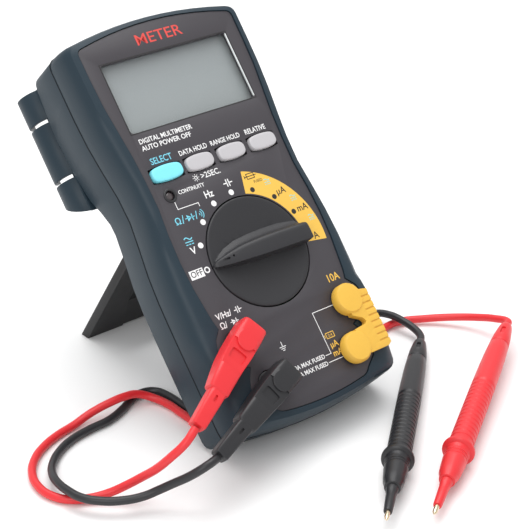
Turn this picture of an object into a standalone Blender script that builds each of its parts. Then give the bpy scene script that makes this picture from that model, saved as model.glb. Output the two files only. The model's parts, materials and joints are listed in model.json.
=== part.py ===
"""A hand-held digital multimeter on its tilt stand, with two test leads plugged in.

Two frames are used. The bench frame is the world: +Z up from the surface, +X to the
meter's right. The face frame sits at the centre of the rotary dial: u to the right,
v up along the face, w out of the face. It is the empty `face`, tilted about X.
Every length is in metres.
"""
import math

import bmesh
import bpy
from mathutils import Matrix, Vector

MM = 0.001
GAP = 0.3 * MM                    # clearance between pieces that sit against each other

# ---- how the meter stands ----
FACE_TILT = math.radians(48.56)   # face above the horizontal
DIAL_HEIGHT = 64.0 * MM           # dial centre above the surface
DIAL_SETBACK = 28.91 * MM         # dial centre in front of the middle of the footprint

# ---- case ----
TOP_CENTRE = 101.3 * MM           # face frame v of the arched top edge
TOP_CORNER = 96.8 * MM
BOTTOM_CENTRE = -64.7 * MM
BOTTOM_CORNER = -60.0 * MM
CASE_HALF_WIDTH = 41.4 * MM       # at the seam, top and bottom
CASE_WAIST = 3.6 * MM             # how much narrower the seam is at its waist
WAIST_V = 32.0 * MM
WAIST_REACH = 21.0 * MM
CASE_CORNER = 4.0 * MM
CASE_DRAFT = 0.6 * MM             # how much narrower the back is than the seam
SEAM_DEPTH = 14.0 * MM            # seam below the face
CASE_DEPTH = 28.0 * MM            # lower back below the face
HUMP_DEPTH = CASE_DEPTH + 6.6 * MM   # back below the face behind the display
HUMP = [                          # v and depth of the sloping back
    (33.0 * MM, CASE_DEPTH),
    (50.0 * MM, HUMP_DEPTH),
    (62.0 * MM, HUMP_DEPTH),
    (106.0 * MM, CASE_DEPTH),
]
HUMP_POCKET = [                   # the hollow behind the display
    (38.0 * MM, CASE_DEPTH - 4.0 * MM),
    (38.0 * MM, CASE_DEPTH - 1.0 * MM),
    (52.0 * MM, HUMP_DEPTH - 2.4 * MM),
    (61.0 * MM, HUMP_DEPTH - 2.4 * MM),
    (84.0 * MM, CASE_DEPTH + 0.8 * MM),
    (84.0 * MM, CASE_DEPTH - 4.0 * MM),
]
POCKET_HALF = 32.0 * MM
BACK_ROUND = 2.0 * MM
WALL = 2.2 * MM
RIM_RISE = 0.4 * MM               # rim above the face panel
LEDGE = 1.5 * MM                  # inner ledge that the panel rests on

# ---- face panel ----
PANEL_THICKNESS = 2.2 * MM
PANEL_TOP_CENTRE = 97.9 * MM
PANEL_TOP_CORNER = 93.4 * MM
PANEL_BOTTOM_CENTRE = -60.4 * MM
PANEL_BOTTOM_CORNER = -58.6 * MM
PANEL_CORNER = 2.0 * MM
PANEL_SIDE = [                    # v and half width down to the jacks
    (94.0 * MM, 36.2 * MM),
    (73.0 * MM, 36.0 * MM),
    (48.0 * MM, 33.2 * MM),
    (30.0 * MM, 32.3 * MM),
    (16.0 * MM, 33.6 * MM),
    (3.0 * MM, 34.0 * MM),
    (-8.0 * MM, 33.3 * MM),
    (-21.0 * MM, 31.5 * MM),
    (-30.0 * MM, 27.0 * MM),
    (-59.0 * MM, 21.5 * MM),
]
JACK_LOBE = 9.0 * MM              # radius of the panel's lobe around each jack

# ---- display ----
WINDOW_WIDTH = 59.4 * MM
WINDOW_HEIGHT = 28.5 * MM
WINDOW_CENTRE = 71.5 * MM
PANE_MARGIN = 1.5 * MM
PANE_THICKNESS = 1.0 * MM
CELL_THICKNESS = 2.4 * MM
BACKLIGHT_THICKNESS = 2.0 * MM

# ---- buttons ----
BUTTON_NAMES = ["button_select", "button_data_hold", "button_range_hold", "button_relative"]
BUTTON_PITCH = 15.3 * MM
BUTTON_FIRST = -22.7 * MM
BUTTON_V = 39.5 * MM
BUTTON_WIDTH = 12.8 * MM
BUTTON_HEIGHT = 6.4 * MM
BUTTON_BULGE = 0.6 * MM
BUTTON_PROUD = 1.3 * MM
BUTTON_TRAVEL = 0.8 * MM
BUTTON_CLEARANCE = 0.3 * MM

# ---- continuity lamp ----
LAMP_U = -25.5 * MM
LAMP_V = 30.8 * MM
LAMP_RADIUS = 2.0 * MM

# ---- dial ----
DIAL_RADIUS = 21.9 * MM
DIAL_CLEARANCE = 0.5 * MM
DIAL_BAR_HEIGHT = 7.5 * MM
DIAL_BAR_TAIL = 7.6 * MM          # width at the blunt end
DIAL_BAR_TIP = 1.8 * MM           # width at the pointer end
ROTOR_RADIUS = 15.0 * MM
SHAFT_RADIUS = 3.0 * MM
WIPER_THICKNESS = 0.5 * MM
WIPER_BORE = 8.0 * MM

# ---- inside ----
BOARD_DEPTH = 9.0 * MM            # top of the board below the face
BOARD_THICKNESS = 1.6 * MM
BOARD_HALF_WIDTH = 29.0 * MM
BOARD_TOP = 90.0 * MM
BOARD_BOTTOM = -23.4 * MM
CELL_RADIUS = 7.1 * MM            # AA cells
CELL_LENGTH = 50.0 * MM
CELL_PITCH = 14.8 * MM
CELL_BOTTOM = -47.0 * MM
FUSE_RADIUS = 3.1 * MM
FUSE_LENGTH = 32.0 * MM
FUSE_U = 25.0 * MM
FUSE_BOTTOM = -12.0 * MM
SCREW_U = 33.3 * MM
SCREW_V = [91.0 * MM, -52.5 * MM]
SCREW_HEAD = 2.4 * MM
SCREW_SHANK = 1.25 * MM
SCREW_SINK = 4.0 * MM             # pocket for a case screw's head
BOSS_WALL = 0.7 * MM

# ---- jacks ----
JACKS = {
    "v": (-26.2 * MM, -30.0 * MM),
    "com": (-20.2 * MM, -48.1 * MM),
    "10a": (26.2 * MM, -30.0 * MM),
    "ma": (20.2 * MM, -48.1 * MM),
}
JACK_SLEEVE = 5.4 * MM            # sleeve in the panel
JACK_NECK = 4.0 * MM              # sleeve below the board's level
JACK_SOCKET = 3.0 * MM
JACK_BORE = 2.25 * MM
JACK_DEPTH = 19.0 * MM
PIN_RADIUS = 1.95 * MM            # banana pin
PIN_LENGTH = 14.0 * MM

# ---- yellow jack cover ----
CAP_RADIUS = 6.2 * MM
CAP_HEIGHT = 3.8 * MM
COVER_ARM = 3.0 * MM
COVER_TAB_INNER = 29.0 * MM
COVER_TAB_OUTER = 35.6 * MM
COVER_TAB_TOP = -28.9 * MM
COVER_TAB_BOTTOM = -52.4 * MM
COVER_GROOVES = 8
COVER_GROOVE_PITCH = 2.6 * MM
COVER_GROOVE = 0.6 * MM           # width; two thirds as deep
COVER_STUB = 9.0 * MM
COVER_TRAVEL = 12.0 * MM

# ---- stand ----
HINGE_V = 25.7 * MM
HINGE_RISE = 3.3 * MM             # hinge axis behind the back of the case
HINGE_PIN = 1.2 * MM
PIN_SLIP = 0.05 * MM
HINGE_EAR = 3.6 * MM
EAR_HALF = 3.2 * MM               # half the ear's length along the case
EAR_END = 2.6 * MM                # ear beyond the hinge axis
STAND_OPEN = math.radians(75.1)   # stand plate from the back of the case
STAND_HALF_WIDTH = 26.5 * MM
STAND_THICKNESS = 4.0 * MM
STAND_WINDOW_HALF = 14.0 * MM
STAND_WINDOW_FOOT = 24.5 * MM     # solid plate left at the foot
STAND_WINDOW_HEAD = 13.0 * MM     # solid plate left at the hinge
FOOT_NOTCH_HALF = 9.0 * MM
FOOT_NOTCH = 1.2 * MM

# ---- probe clips on the back ----
CLIP_SPANS = [(82.3 * MM, 94.2 * MM), (58.6 * MM, 80.7 * MM), (41.5 * MM, 57.0 * MM)]
CLIP_SLANT = [                    # v and depth of the lowest ring's slanting end
    (41.5 * MM, HUMP_DEPTH - 0.6 * MM),
    (50.5 * MM, HUMP_DEPTH + 16.4 * MM),
]
CLIP_OUTER = 7.7 * MM
CLIP_INNER = 5.7 * MM
CLIP_U = 35.3 * MM
CLIP_BASE = 2.0 * MM
CLIP_MOUTH = (56.0, 160.0)        # open part of the ring, degrees from outward round by the back

# ---- leads ----
CORD_RADIUS = 1.6 * MM
CORD_STEP = 6.4 * MM
CORD_TO_FOOT = 2.0 * MM           # least gap between the leads and the back of the case's foot
FOOT_SPAN = 46.0                  # the leads' routes are behind the foot this far out, in mm
PLUG_TURN = {"red": math.radians(211.5), "black": math.radians(203.0)}
PLUG_JACK = {"red": "v", "black": "com"}
PLUG_STATIONS = [                 # along the plug, half width, underside and top over the face
    (-5.6 * MM, 4.4 * MM, 3.0 * MM, 11.4 * MM),
    (-4.6 * MM, 5.2 * MM, 2.2 * MM, 12.2 * MM),
    (0.0 * MM, 5.5 * MM, 1.6 * MM, 12.5 * MM),
    (8.0 * MM, 5.4 * MM, 1.6 * MM, 12.5 * MM),
    (14.0 * MM, 5.0 * MM, 2.2 * MM, 12.2 * MM),
    (20.0 * MM, 4.6 * MM, 3.4 * MM, 11.8 * MM),
    (25.4 * MM, 4.1 * MM, 4.4 * MM, 11.6 * MM),
    (25.9 * MM, 3.3 * MM, 4.9 * MM, 11.2 * MM),
    (41.2 * MM, 2.9 * MM, 5.15 * MM, 10.95 * MM),
]
PROBE_TAIL = {"red": (102.2 * MM, -36.3 * MM, 10.1 * MM), "black": (73.4 * MM, -15.5 * MM, 3.7 * MM)}
PROBE_AIM = {"red": (-0.847, -0.530, -0.040), "black": (-0.7615, -0.6475, 0.030)}
PROBE_TAIL_PIECE = 16.0 * MM
PROBE_HANDLE = [                  # distance from the cord, radius
    (16.3 * MM, 4.0 * MM),
    (26.0 * MM, 4.4 * MM),
    (48.0 * MM, 4.7 * MM),
    (86.0 * MM, 4.5 * MM),
    (89.2 * MM, 4.6 * MM),
    (89.8 * MM, 6.2 * MM),
    (91.6 * MM, 6.2 * MM),
    (92.2 * MM, 4.7 * MM),
    (106.0 * MM, 4.1 * MM),
    (110.0 * MM, 3.2 * MM),
]
PROBE_SLEEVE = [(110.3 * MM, 2.3 * MM), (113.0 * MM, 2.1 * MM), (125.0 * MM, 1.6 * MM)]
PROBE_NEEDLE = [(125.3 * MM, 0.95 * MM), (128.8 * MM, 0.9 * MM), (130.0 * MM, 0.3 * MM)]
RED_ROUTE = [                     # bench frame, from the dial centre's place on the surface
    (-61.9, -40.35, 30.45),
    (-66.9, -41.6, 27.4),
    (-71.6, -38.8, 21.8),
    (-74.8, -33.6, 15.2),
    (-77.3, -28.6, 10.4),
    (-81.0, -24.6, 6.6),
    (-86.3, -20.6, 3.3),
    (-92.0, -17.4, 2.0),
    (-98.0, -13.2, 1.7),
    (-101.8, -7.0, 1.7),
    (-102.35, 1.0, 1.7),
    (-99.5, 9.0, 1.7),
    (-94.0, 16.0, 1.7),
    (-86.5, 21.2, 1.7),
    (-78.5, 24.3, 1.7),
    (-70.0, 25.9, 1.9),
    (-61.5, 26.6, 3.6),
    (-53.5, 25.9, 5.2),
    (-46.5, 25.4, 5.6),
    (-40.3, 25.2, 4.4),
    (-35.6, 22.2, 2.4),
    (-33.2, 15.6, 1.7),
    (-33.0, 6.0, 1.7),
    (-32.4, -3.6, 1.7),
    (-28.2, -12.2, 1.7),
    (-21.0, -15.0, 1.7),
    (-12.0, -15.2, 1.7),
    (12.0, -15.2, 1.7),
    (27.0, -14.2, 1.7),
    (45.0, -6.5, 1.7),
    (60.0, 1.5, 1.7),
    (72.5, 5.2, 1.7),
    (81.0, 4.9, 1.9),
    (90.5, -1.0, 2.5),
    (98.6, -9.5, 4.0),
    (104.0, -19.0, 6.2),
    (105.9, -27.0, 8.5),
    (105.7, -34.1, 10.0),
    (102.84, -35.9, 10.13),
]
BLACK_ROUTE = [
    (-58.7, -48.7, 21.0),
    (-64.0, -49.6, 20.6),
    (-69.3, -46.2, 16.6),
    (-73.0, -41.2, 12.4),
    (-76.2, -37.4, 9.2),
    (-81.0, -34.2, 6.8),
    (-87.2, -30.4, 5.8),
    (-92.8, -25.8, 5.6),
    (-97.0, -19.8, 5.6),
    (-98.4, -12.8, 5.5),
    (-97.8, -5.0, 4.8),
    (-95.0, 2.5, 3.4),
    (-90.2, 9.4, 2.0),
    (-83.8, 14.8, 1.7),
    (-75.8, 18.4, 1.7),
    (-66.5, 20.0, 1.7),
    (-57.5, 20.6, 1.7),
    (-50.2, 23.0, 1.7),
    (-43.0, 26.6, 1.7),
    (-36.6, 28.6, 1.7),
    (-31.4, 26.4, 1.7),
    (-29.4, 20.0, 1.7),
    (-29.2, 12.0, 1.7),
    (-29.2, 4.0, 1.7),
    (-29.0, -3.0, 1.7),
    (-26.4, -8.9, 1.7),
    (-20.0, -11.2, 1.7),
    (-12.0, -11.4, 1.7),
    (12.0, -11.4, 1.7),
    (26.0, -10.6, 1.7),
    (39.0, -3.0, 1.7),
    (50.0, 6.5, 1.7),
    (60.0, 15.0, 1.7),
    (69.0, 17.6, 2.4),
    (75.0, 13.4, 4.4),
    (77.3, 6.6, 5.7),
    (78.2, 0.0, 5.5),
    (78.8, -6.0, 4.4),
    (77.4, -11.6, 3.7),
    (73.73, -15.22, 3.7),
]


# ---- scene and materials ----
def clear_scene():
    for item in list(bpy.data.objects):
        bpy.data.objects.remove(item, do_unlink=True)


def material(name, colour, roughness, metallic=0.0):
    finish = bpy.data.materials.new(name)
    finish.use_nodes = True
    shader = finish.node_tree.nodes["Principled BSDF"]
    shader.inputs["Base Color"].default_value = (*colour, 1.0)
    shader.inputs["Roughness"].default_value = roughness
    shader.inputs["Metallic"].default_value = metallic
    return finish


clear_scene()
bench = bpy.data.objects.new("bench", None)
bpy.context.collection.objects.link(bench)
bench.location = (0.0, -DIAL_SETBACK, 0.0)
face = bpy.data.objects.new("face", None)
bpy.context.collection.objects.link(face)
face.parent = bench
face.location = (0.0, 0.0, DIAL_HEIGHT)
face.rotation_euler = (FACE_TILT, 0.0, 0.0)

TEAL = material("case_teal", (0.045, 0.077, 0.102), 0.42)
CHARCOAL = material("panel_charcoal", (0.062, 0.059, 0.063), 0.48)
BLACK = material("black_plastic", (0.018, 0.018, 0.020), 0.45)
CLEAR = material("clear_window", (0.55, 0.60, 0.60), 0.05)
GLASS = material("display_glass", (0.32, 0.36, 0.36), 0.15)
CREAM = material("backlight_white", (0.78, 0.78, 0.74), 0.45)
BOARD = material("board_green", (0.02, 0.17, 0.07), 0.40)
GREY = material("button_grey", (0.58, 0.56, 0.58), 0.50)
CYAN = material("button_cyan", (0.26, 0.85, 0.95), 0.50)
SILICONE = material("keypad_silicone", (0.45, 0.45, 0.46), 0.70)
LENS = material("lamp_lens", (0.10, 0.02, 0.02), 0.15)
BRASS = material("brass", (0.72, 0.50, 0.20), 0.28, 1.0)
STEEL = material("plated_steel", (0.62, 0.62, 0.64), 0.30, 1.0)
YELLOW = material("cover_yellow", (0.90, 0.55, 0.07), 0.55)
FUSE = material("fuse_ceramic", (0.82, 0.80, 0.74), 0.40)
CELL = material("cell_jacket", (0.03, 0.10, 0.30), 0.35)
RED = material("lead_red", (0.85, 0.03, 0.05), 0.42)
LEAD_BLACK = material("lead_black", (0.020, 0.020, 0.022), 0.42)
GOLD = material("needle_gold", (0.90, 0.74, 0.48), 0.25, 1.0)


# ---- shared makers ----
def add_node(name, mesh_data, finish, parent=face, place=(0.0, 0.0, 0.0), turn=0.0):
    """Make one object from a bmesh, in its parent's frame."""
    mesh = bpy.data.meshes.new(name)
    bmesh.ops.recalc_face_normals(mesh_data, faces=mesh_data.faces)
    mesh_data.to_mesh(mesh)
    mesh_data.free()
    mesh.materials.append(finish)
    item = bpy.data.objects.new(name, mesh)
    bpy.context.collection.objects.link(item)
    item.parent = parent
    item.location = place
    item.rotation_euler = (0.0, 0.0, turn)
    return item


def smooth(item, angle=35.0):
    item.data.shade_smooth()
    item.data.set_sharp_from_angle(angle=math.radians(angle))
    return item


def combine(target, operand, operation):
    """Cut, join or trim one object with another; the operand is a guide, not a piece."""
    operand.hide_render = True
    operand.display_type = "WIRE"
    step = target.modifiers.new(operation.lower(), "BOOLEAN")
    step.operation = operation
    step.solver = "EXACT"
    step.object = operand
    return target


def loft(rings, closed=False):
    """Skin equal rings of points; flat ends unless the last ring joins the first."""
    work = bmesh.new()
    loops = [[work.verts.new(point) for point in ring] for ring in rings]
    count = len(loops[0])
    pairs = list(zip(loops, loops[1:]))
    if closed:
        pairs.append((loops[-1], loops[0]))
    for lower, upper in pairs:
        for i in range(count):
            j = (i + 1) % count
            work.faces.new((lower[i], lower[j], upper[j], upper[i]))
    if not closed:
        work.faces.new(reversed(loops[0]))
        work.faces.new(loops[-1])
    return work


def prism(outline, low, high):
    return loft([[(u, v, low) for u, v in outline], [(u, v, high) for u, v in outline]])


def slab(u0, u1, v0, v1, low, high):
    return prism([(u0, v0), (u1, v0), (u1, v1), (u0, v1)], low, high)


def circle(u, v, radius, count=24, start=0.0):
    angles = [start + math.tau * i / count for i in range(count)]
    return [(u + radius * math.cos(a), v + radius * math.sin(a)) for a in angles]


def rod(u, v, radius, low, high, count=24):
    return prism(circle(u, v, radius, count), low, high)


def turned(profile, count=16):
    """Solid of revolution about local Z from (z, radius) pairs."""
    rings = []
    for z, radius in profile:
        rings.append([(x, y, z) for x, y in circle(0.0, 0.0, radius, count)])
    return loft(rings)


def tube(u, v, outer, inner, low, high, count=24):
    rings = []
    for radius, w in ((outer, low), (outer, high), (inner, high), (inner, low)):
        rings.append([(x, y, w) for x, y in circle(u, v, radius, count)])
    return loft(rings, closed=True)


def merge(*parts):
    """Put several bmeshes in one, as separate shells."""
    whole = bmesh.new()
    for part in parts:
        mesh = bpy.data.meshes.new("merge")
        part.to_mesh(mesh)
        part.free()
        whole.from_mesh(mesh)
        bpy.data.meshes.remove(mesh)
    return whole


def round_box(width, height, radius, centre_u=0.0, centre_v=0.0, steps=3):
    """Outline of a rectangle with round corners."""
    points = []
    for k, (su, sv) in enumerate(((1, 1), (-1, 1), (-1, -1), (1, -1))):
        cu = centre_u + su * (width / 2 - radius)
        cv = centre_v + sv * (height / 2 - radius)
        for i in range(steps + 1):
            a = math.pi / 2 * (k + i / steps)
            points.append((cu + radius * math.cos(a), cv + radius * math.sin(a)))
    return points


# ---- outlines of the case ----
TOP_STEPS = 5
SIDE_STEPS = [i / 10 * 0.72 for i in range(10)] + [0.72 + 0.28 * i / 12 for i in range(13)]


def blend(points, v):
    """Half width at v, smoothly between the given points."""
    for (v0, u0), (v1, u1) in zip(points, points[1:]):
        if v >= v1:
            t = min(1.0, max(0.0, (v0 - v) / (v0 - v1)))
            return u0 + (u1 - u0) * t
    return points[-1][1]


def case_half_width(v):
    """Half width of the case: narrowest at the waist, above the dial."""
    return CASE_HALF_WIDTH - CASE_WAIST * math.exp(-((v - WAIST_V) / WAIST_REACH) ** 2)


def panel_half_width(v):
    width = blend(PANEL_SIDE, v)
    for u, jack_v in (JACKS["10a"], JACKS["ma"]):
        if abs(v - jack_v) < JACK_LOBE:
            width = max(width, u + math.sqrt(JACK_LOBE ** 2 - (v - jack_v) ** 2))
    return width


def outline(half_width, top_corner, top_centre, bottom_corner, bottom_centre, corner):
    """Closed outline, the same number of points for every level of the case."""
    def end_edge(u, end, centre):
        reach = half_width(end)
        return centre + (end - centre) * (u / reach) ** 2

    def quarter(v_corner, v_centre, v_inner):
        width = half_width(v_corner)
        start = Vector((width - corner, end_edge(width - corner, v_corner, v_centre)))
        middle = Vector((width, v_corner))
        finish = Vector((half_width(v_inner), v_inner))
        bends = []
        for t in (0.0, 0.25, 0.5, 0.75):
            bends.append((1 - t) ** 2 * start + 2 * t * (1 - t) * middle + t ** 2 * finish)
        return [tuple(p) for p in bends]

    right = []
    reach = half_width(top_corner) - corner
    for i in range(TOP_STEPS):
        u = reach * i / TOP_STEPS
        right.append((u, end_edge(u, top_corner, top_centre)))
    upper = top_corner - corner
    lower = bottom_corner + corner
    right += quarter(top_corner, top_centre, upper)
    for t in SIDE_STEPS:
        v = upper + (lower - upper) * t
        right.append((half_width(v), v))
    right += reversed(quarter(bottom_corner, bottom_centre, lower))
    reach = half_width(bottom_corner) - corner
    for i in reversed(range(TOP_STEPS)):
        u = reach * i / TOP_STEPS
        right.append((u, end_edge(u, bottom_corner, bottom_centre)))
    left = [(-u, v) for u, v in reversed(right[1:-1])]
    return right + left


def offset(points, distance):
    """The same closed clockwise outline moved outwards, or inwards if negative."""
    moved = []
    count = len(points)
    for i in range(count):
        before = Vector(points[i - 1])
        here = Vector(points[i])
        after = Vector(points[(i + 1) % count])
        first = (here - before).normalized()
        second = (after - here).normalized()
        bisector = Vector((-first.y - second.y, first.x + second.x)).normalized()
        square = max(0.6, bisector.dot(Vector((-first.y, first.x))))
        moved.append(tuple(here + bisector * distance / square))
    return moved


def case_outline(inset=0.0):
    whole = outline(case_half_width, TOP_CORNER, TOP_CENTRE, BOTTOM_CORNER, BOTTOM_CENTRE, CASE_CORNER)
    return offset(whole, -inset)


def panel_outline(grow=0.0):
    whole = outline(panel_half_width, PANEL_TOP_CORNER, PANEL_TOP_CENTRE,
                    PANEL_BOTTOM_CORNER, PANEL_BOTTOM_CENTRE, PANEL_CORNER)
    return offset(whole, grow)


def between(inner, outer, share):
    return [(a[0] + (b[0] - a[0]) * share, a[1] + (b[1] - a[1]) * share) for a, b in zip(inner, outer)]


def level(points, w):
    return [(u, v, w) for u, v in points]


# ---- case shells ----
def front_case():
    opening = panel_outline(GAP)
    ledge = panel_outline(-LEDGE)
    seam = case_outline()
    inside = case_outline(WALL)
    rings = []
    for degrees in (0, 22, 42, 58, 70, 80, 90):
        a = math.radians(degrees)
        share = math.sin(a) ** 0.7
        drop = 1.0 - math.cos(a) ** 0.7
        depth = RIM_RISE - (SEAM_DEPTH - GAP / 2 + RIM_RISE) * drop
        rings.append(level(between(opening, seam, share), depth))
    rings.append(level(inside, -SEAM_DEPTH + GAP / 2))
    rings.append(level(between(opening, inside, 0.75), -PANEL_THICKNESS - 3.4 * MM))
    rings.append(level(ledge, -PANEL_THICKNESS - GAP - 1.5 * MM))
    rings.append(level(ledge, -PANEL_THICKNESS - GAP))
    rings.append(level(opening, -PANEL_THICKNESS - GAP))
    shell = smooth(add_node("front_case", loft(rings, closed=True), TEAL), 40.0)
    bosses = []
    holes = []
    for side in (-1, 1):
        for v in SCREW_V:
            top = -PANEL_THICKNESS - GAP - 0.5 * MM
            bottom = -SEAM_DEPTH + GAP / 2
            bosses.append(rod(side * SCREW_U, v, SCREW_HEAD + BOSS_WALL, bottom, top, 12))
            bore = SCREW_SHANK + GAP
            holes.append(rod(side * SCREW_U, v, bore, bottom - MM, bottom + 8.0 * MM, 12))
    combine(shell, add_node("front_bosses", merge(*bosses), TEAL), "UNION")
    combine(shell, add_node("front_boss_holes", merge(*holes), TEAL), "DIFFERENCE")


def floor_cutter(name):
    """Everything below the surface that the meter stands on."""
    return add_node(name, slab(-0.2, 0.2, -0.2, 0.2, -0.1, 0.0), TEAL, parent=bench)


def side_profile(points, half_width):
    """Prism across the meter from an outline of (v, depth) points."""
    rings = []
    for u in (-half_width, half_width):
        rings.append([(u, v, -depth) for v, depth in points])
    return loft(rings)


def rear_case():
    back = case_outline(CASE_DRAFT)
    back_face = case_outline(CASE_DRAFT + BACK_ROUND)
    inner_floor = case_outline(CASE_DRAFT + WALL)
    top = -SEAM_DEPTH - GAP / 2
    rings = [
        level(inner_floor, -CASE_DEPTH + WALL),
        level(case_outline(WALL), top),
        level(case_outline(), top),
        level(back, -HUMP_DEPTH + BACK_ROUND),
        level(between(back, back_face, 0.35), -HUMP_DEPTH + 0.35 * BACK_ROUND),
        level(back_face, -HUMP_DEPTH),
    ]
    shell = smooth(add_node("rear_case", loft(rings), TEAL), 40.0)
    far = 2 * CASE_HALF_WIDTH
    beyond = 2 * HUMP_DEPTH
    foot_end = [(-far, beyond), (-far, CASE_DEPTH)]
    head_end = [(2 * TOP_CENTRE, CASE_DEPTH), (2 * TOP_CENTRE, beyond)]
    below = foot_end + HUMP + head_end
    combine(shell, add_node("back_slope", side_profile(below, far), TEAL), "DIFFERENCE")
    combine(shell, add_node("hump_pocket", side_profile(HUMP_POCKET, POCKET_HALF), TEAL), "DIFFERENCE")
    ears = []
    for side in (-1, 1):
        inner = side * (STAND_HALF_WIDTH + GAP + 0.2 * MM)
        outer = inner + side * HINGE_EAR
        low = -CASE_DEPTH - HINGE_RISE - EAR_END
        ears.append(slab(min(inner, outer), max(inner, outer), HINGE_V - EAR_HALF, HINGE_V + EAR_HALF,
                         low, -CASE_DEPTH + MM))
    combine(shell, add_node("hinge_ears", merge(*ears), TEAL), "UNION")
    pin_hole = rod(0.0, 0.0, HINGE_PIN + PIN_SLIP, -0.05, 0.05, 16)
    bmesh.ops.rotate(pin_hole, matrix=Matrix.Rotation(math.pi / 2, 3, "Y"), verts=pin_hole.verts)
    hole = add_node("hinge_holes", pin_hole, TEAL, place=(0.0, HINGE_V, -CASE_DEPTH - HINGE_RISE))
    combine(shell, hole, "DIFFERENCE")
    cuts = [prism(door_outline(GAP), -CASE_DEPTH - MM, -CASE_DEPTH + WALL + MM)]
    for side in (-1, 1):
        for v in SCREW_V:
            pocket_end = -CASE_DEPTH + SCREW_SINK
            cuts.append(rod(side * SCREW_U, v, SCREW_HEAD + GAP, -HUMP_DEPTH - MM, pocket_end, 16))
    combine(shell, add_node("rear_openings", merge(*cuts), TEAL), "DIFFERENCE")
    combine(shell, floor_cutter("surface_under_case"), "DIFFERENCE")


def door_outline(grow=0.0):
    low = CELL_BOTTOM - 2.0 * MM
    high = CELL_BOTTOM + CELL_LENGTH + 13.0 * MM
    return round_box(CELL_PITCH + 2 * CELL_RADIUS + 4.0 * MM + 2 * grow, high - low + 2 * grow,
                     2.0 * MM, 0.0, (low + high) / 2)


DOOR_SCREW_V = CELL_BOTTOM + CELL_LENGTH + 8.0 * MM


def battery_door():
    plate = prism(door_outline(), -CASE_DEPTH, -CASE_DEPTH + WALL - 0.4 * MM)
    door = add_node("battery_door", plate, TEAL)
    hole = rod(0.0, DOOR_SCREW_V, SCREW_SHANK + GAP, -CASE_DEPTH - MM, -CASE_DEPTH + WALL + MM, 16)
    combine(door, add_node("door_hole", hole, TEAL), "DIFFERENCE")
    pocket = rod(0.0, DOOR_SCREW_V, SCREW_HEAD + GAP, -CASE_DEPTH - MM, -CASE_DEPTH + 1.1 * MM, 16)
    combine(door, add_node("door_pocket", pocket, TEAL), "DIFFERENCE")


def screw(name, u, v, head_low, head_high, shank_high):
    profile = [
        (head_low, SCREW_HEAD),
        (head_high, SCREW_HEAD),
        (head_high, SCREW_SHANK),
        (shank_high, SCREW_SHANK),
    ]
    body = smooth(add_node(name, turned(profile, 12), STEEL, place=(u, v, 0.0)))
    slot = slab(-1.5 * MM, 1.5 * MM, -0.3 * MM, 0.3 * MM, head_low - MM, head_low + 0.6 * MM)
    combine(body, add_node(name + "_slot", slot, STEEL, place=(u, v, 0.0)), "DIFFERENCE")


def screws():
    for i, (side, v) in enumerate([(s, v) for v in SCREW_V for s in (-1, 1)]):
        low = -CASE_DEPTH + 0.6 * MM
        screw("case_screw_%d" % (i + 1), side * SCREW_U, v, low, low + 1.8 * MM, -SEAM_DEPTH + 6.0 * MM)
    low = -CASE_DEPTH + 0.1 * MM
    screw("battery_door_screw", 0.0, DOOR_SCREW_V, low, low + 0.9 * MM, -CASE_DEPTH + 8.0 * MM)


# ---- face ----
def button_outline(index, grow=0.0):
    width = BUTTON_WIDTH + (1.4 * MM if index == 0 else 0.0) + 2 * grow
    height = BUTTON_HEIGHT + 2 * grow
    centre = BUTTON_FIRST + index * BUTTON_PITCH
    points = []
    for side in (1, -1):
        for i in range(6):
            x = side * width * (0.5 - i / 5)
            bulge = BUTTON_BULGE * (1 - (2 * x / width) ** 2)
            points.append((centre + x, BUTTON_V + side * (height / 2 - BUTTON_BULGE + bulge)))
    return points


def face_panel():
    low = -PANEL_THICKNESS
    plate = smooth(add_node("face_panel", prism(panel_outline(), low, 0.0), CHARCOAL))
    cuts = [
        prism(round_box(WINDOW_WIDTH, WINDOW_HEIGHT, 1.5 * MM, 0.0, WINDOW_CENTRE), low - MM, MM),
        rod(0.0, 0.0, DIAL_RADIUS + DIAL_CLEARANCE, low - MM, MM, 48),
        rod(LAMP_U, LAMP_V, LAMP_RADIUS + GAP, low - MM, MM, 16),
    ]
    for index in range(len(BUTTON_NAMES)):
        cuts.append(prism(button_outline(index, BUTTON_CLEARANCE), low - MM, MM))
    for u, v in JACKS.values():
        cuts.append(rod(u, v, JACK_SLEEVE + GAP, low - MM, MM, 24))
    combine(plate, add_node("panel_openings", merge(*cuts), CHARCOAL), "DIFFERENCE")


def display():
    width = WINDOW_WIDTH + 2 * PANE_MARGIN
    height = WINDOW_HEIGHT + 2 * PANE_MARGIN
    top = -PANEL_THICKNESS - GAP
    pane = round_box(width, height, 1.0 * MM, 0.0, WINDOW_CENTRE, 2)
    add_node("lcd_window", prism(pane, top - PANE_THICKNESS, top), CLEAR)
    top -= PANE_THICKNESS + GAP
    half = width / 2
    low_v = WINDOW_CENTRE - height / 2
    high_v = WINDOW_CENTRE + height / 2
    add_node("lcd_display", slab(-half, half, low_v, high_v, top - CELL_THICKNESS, top), GLASS)
    top -= CELL_THICKNESS + GAP
    add_node("lcd_backlight", slab(-half, half, low_v, high_v, top - BACKLIGHT_THICKNESS, top), CREAM)


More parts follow.
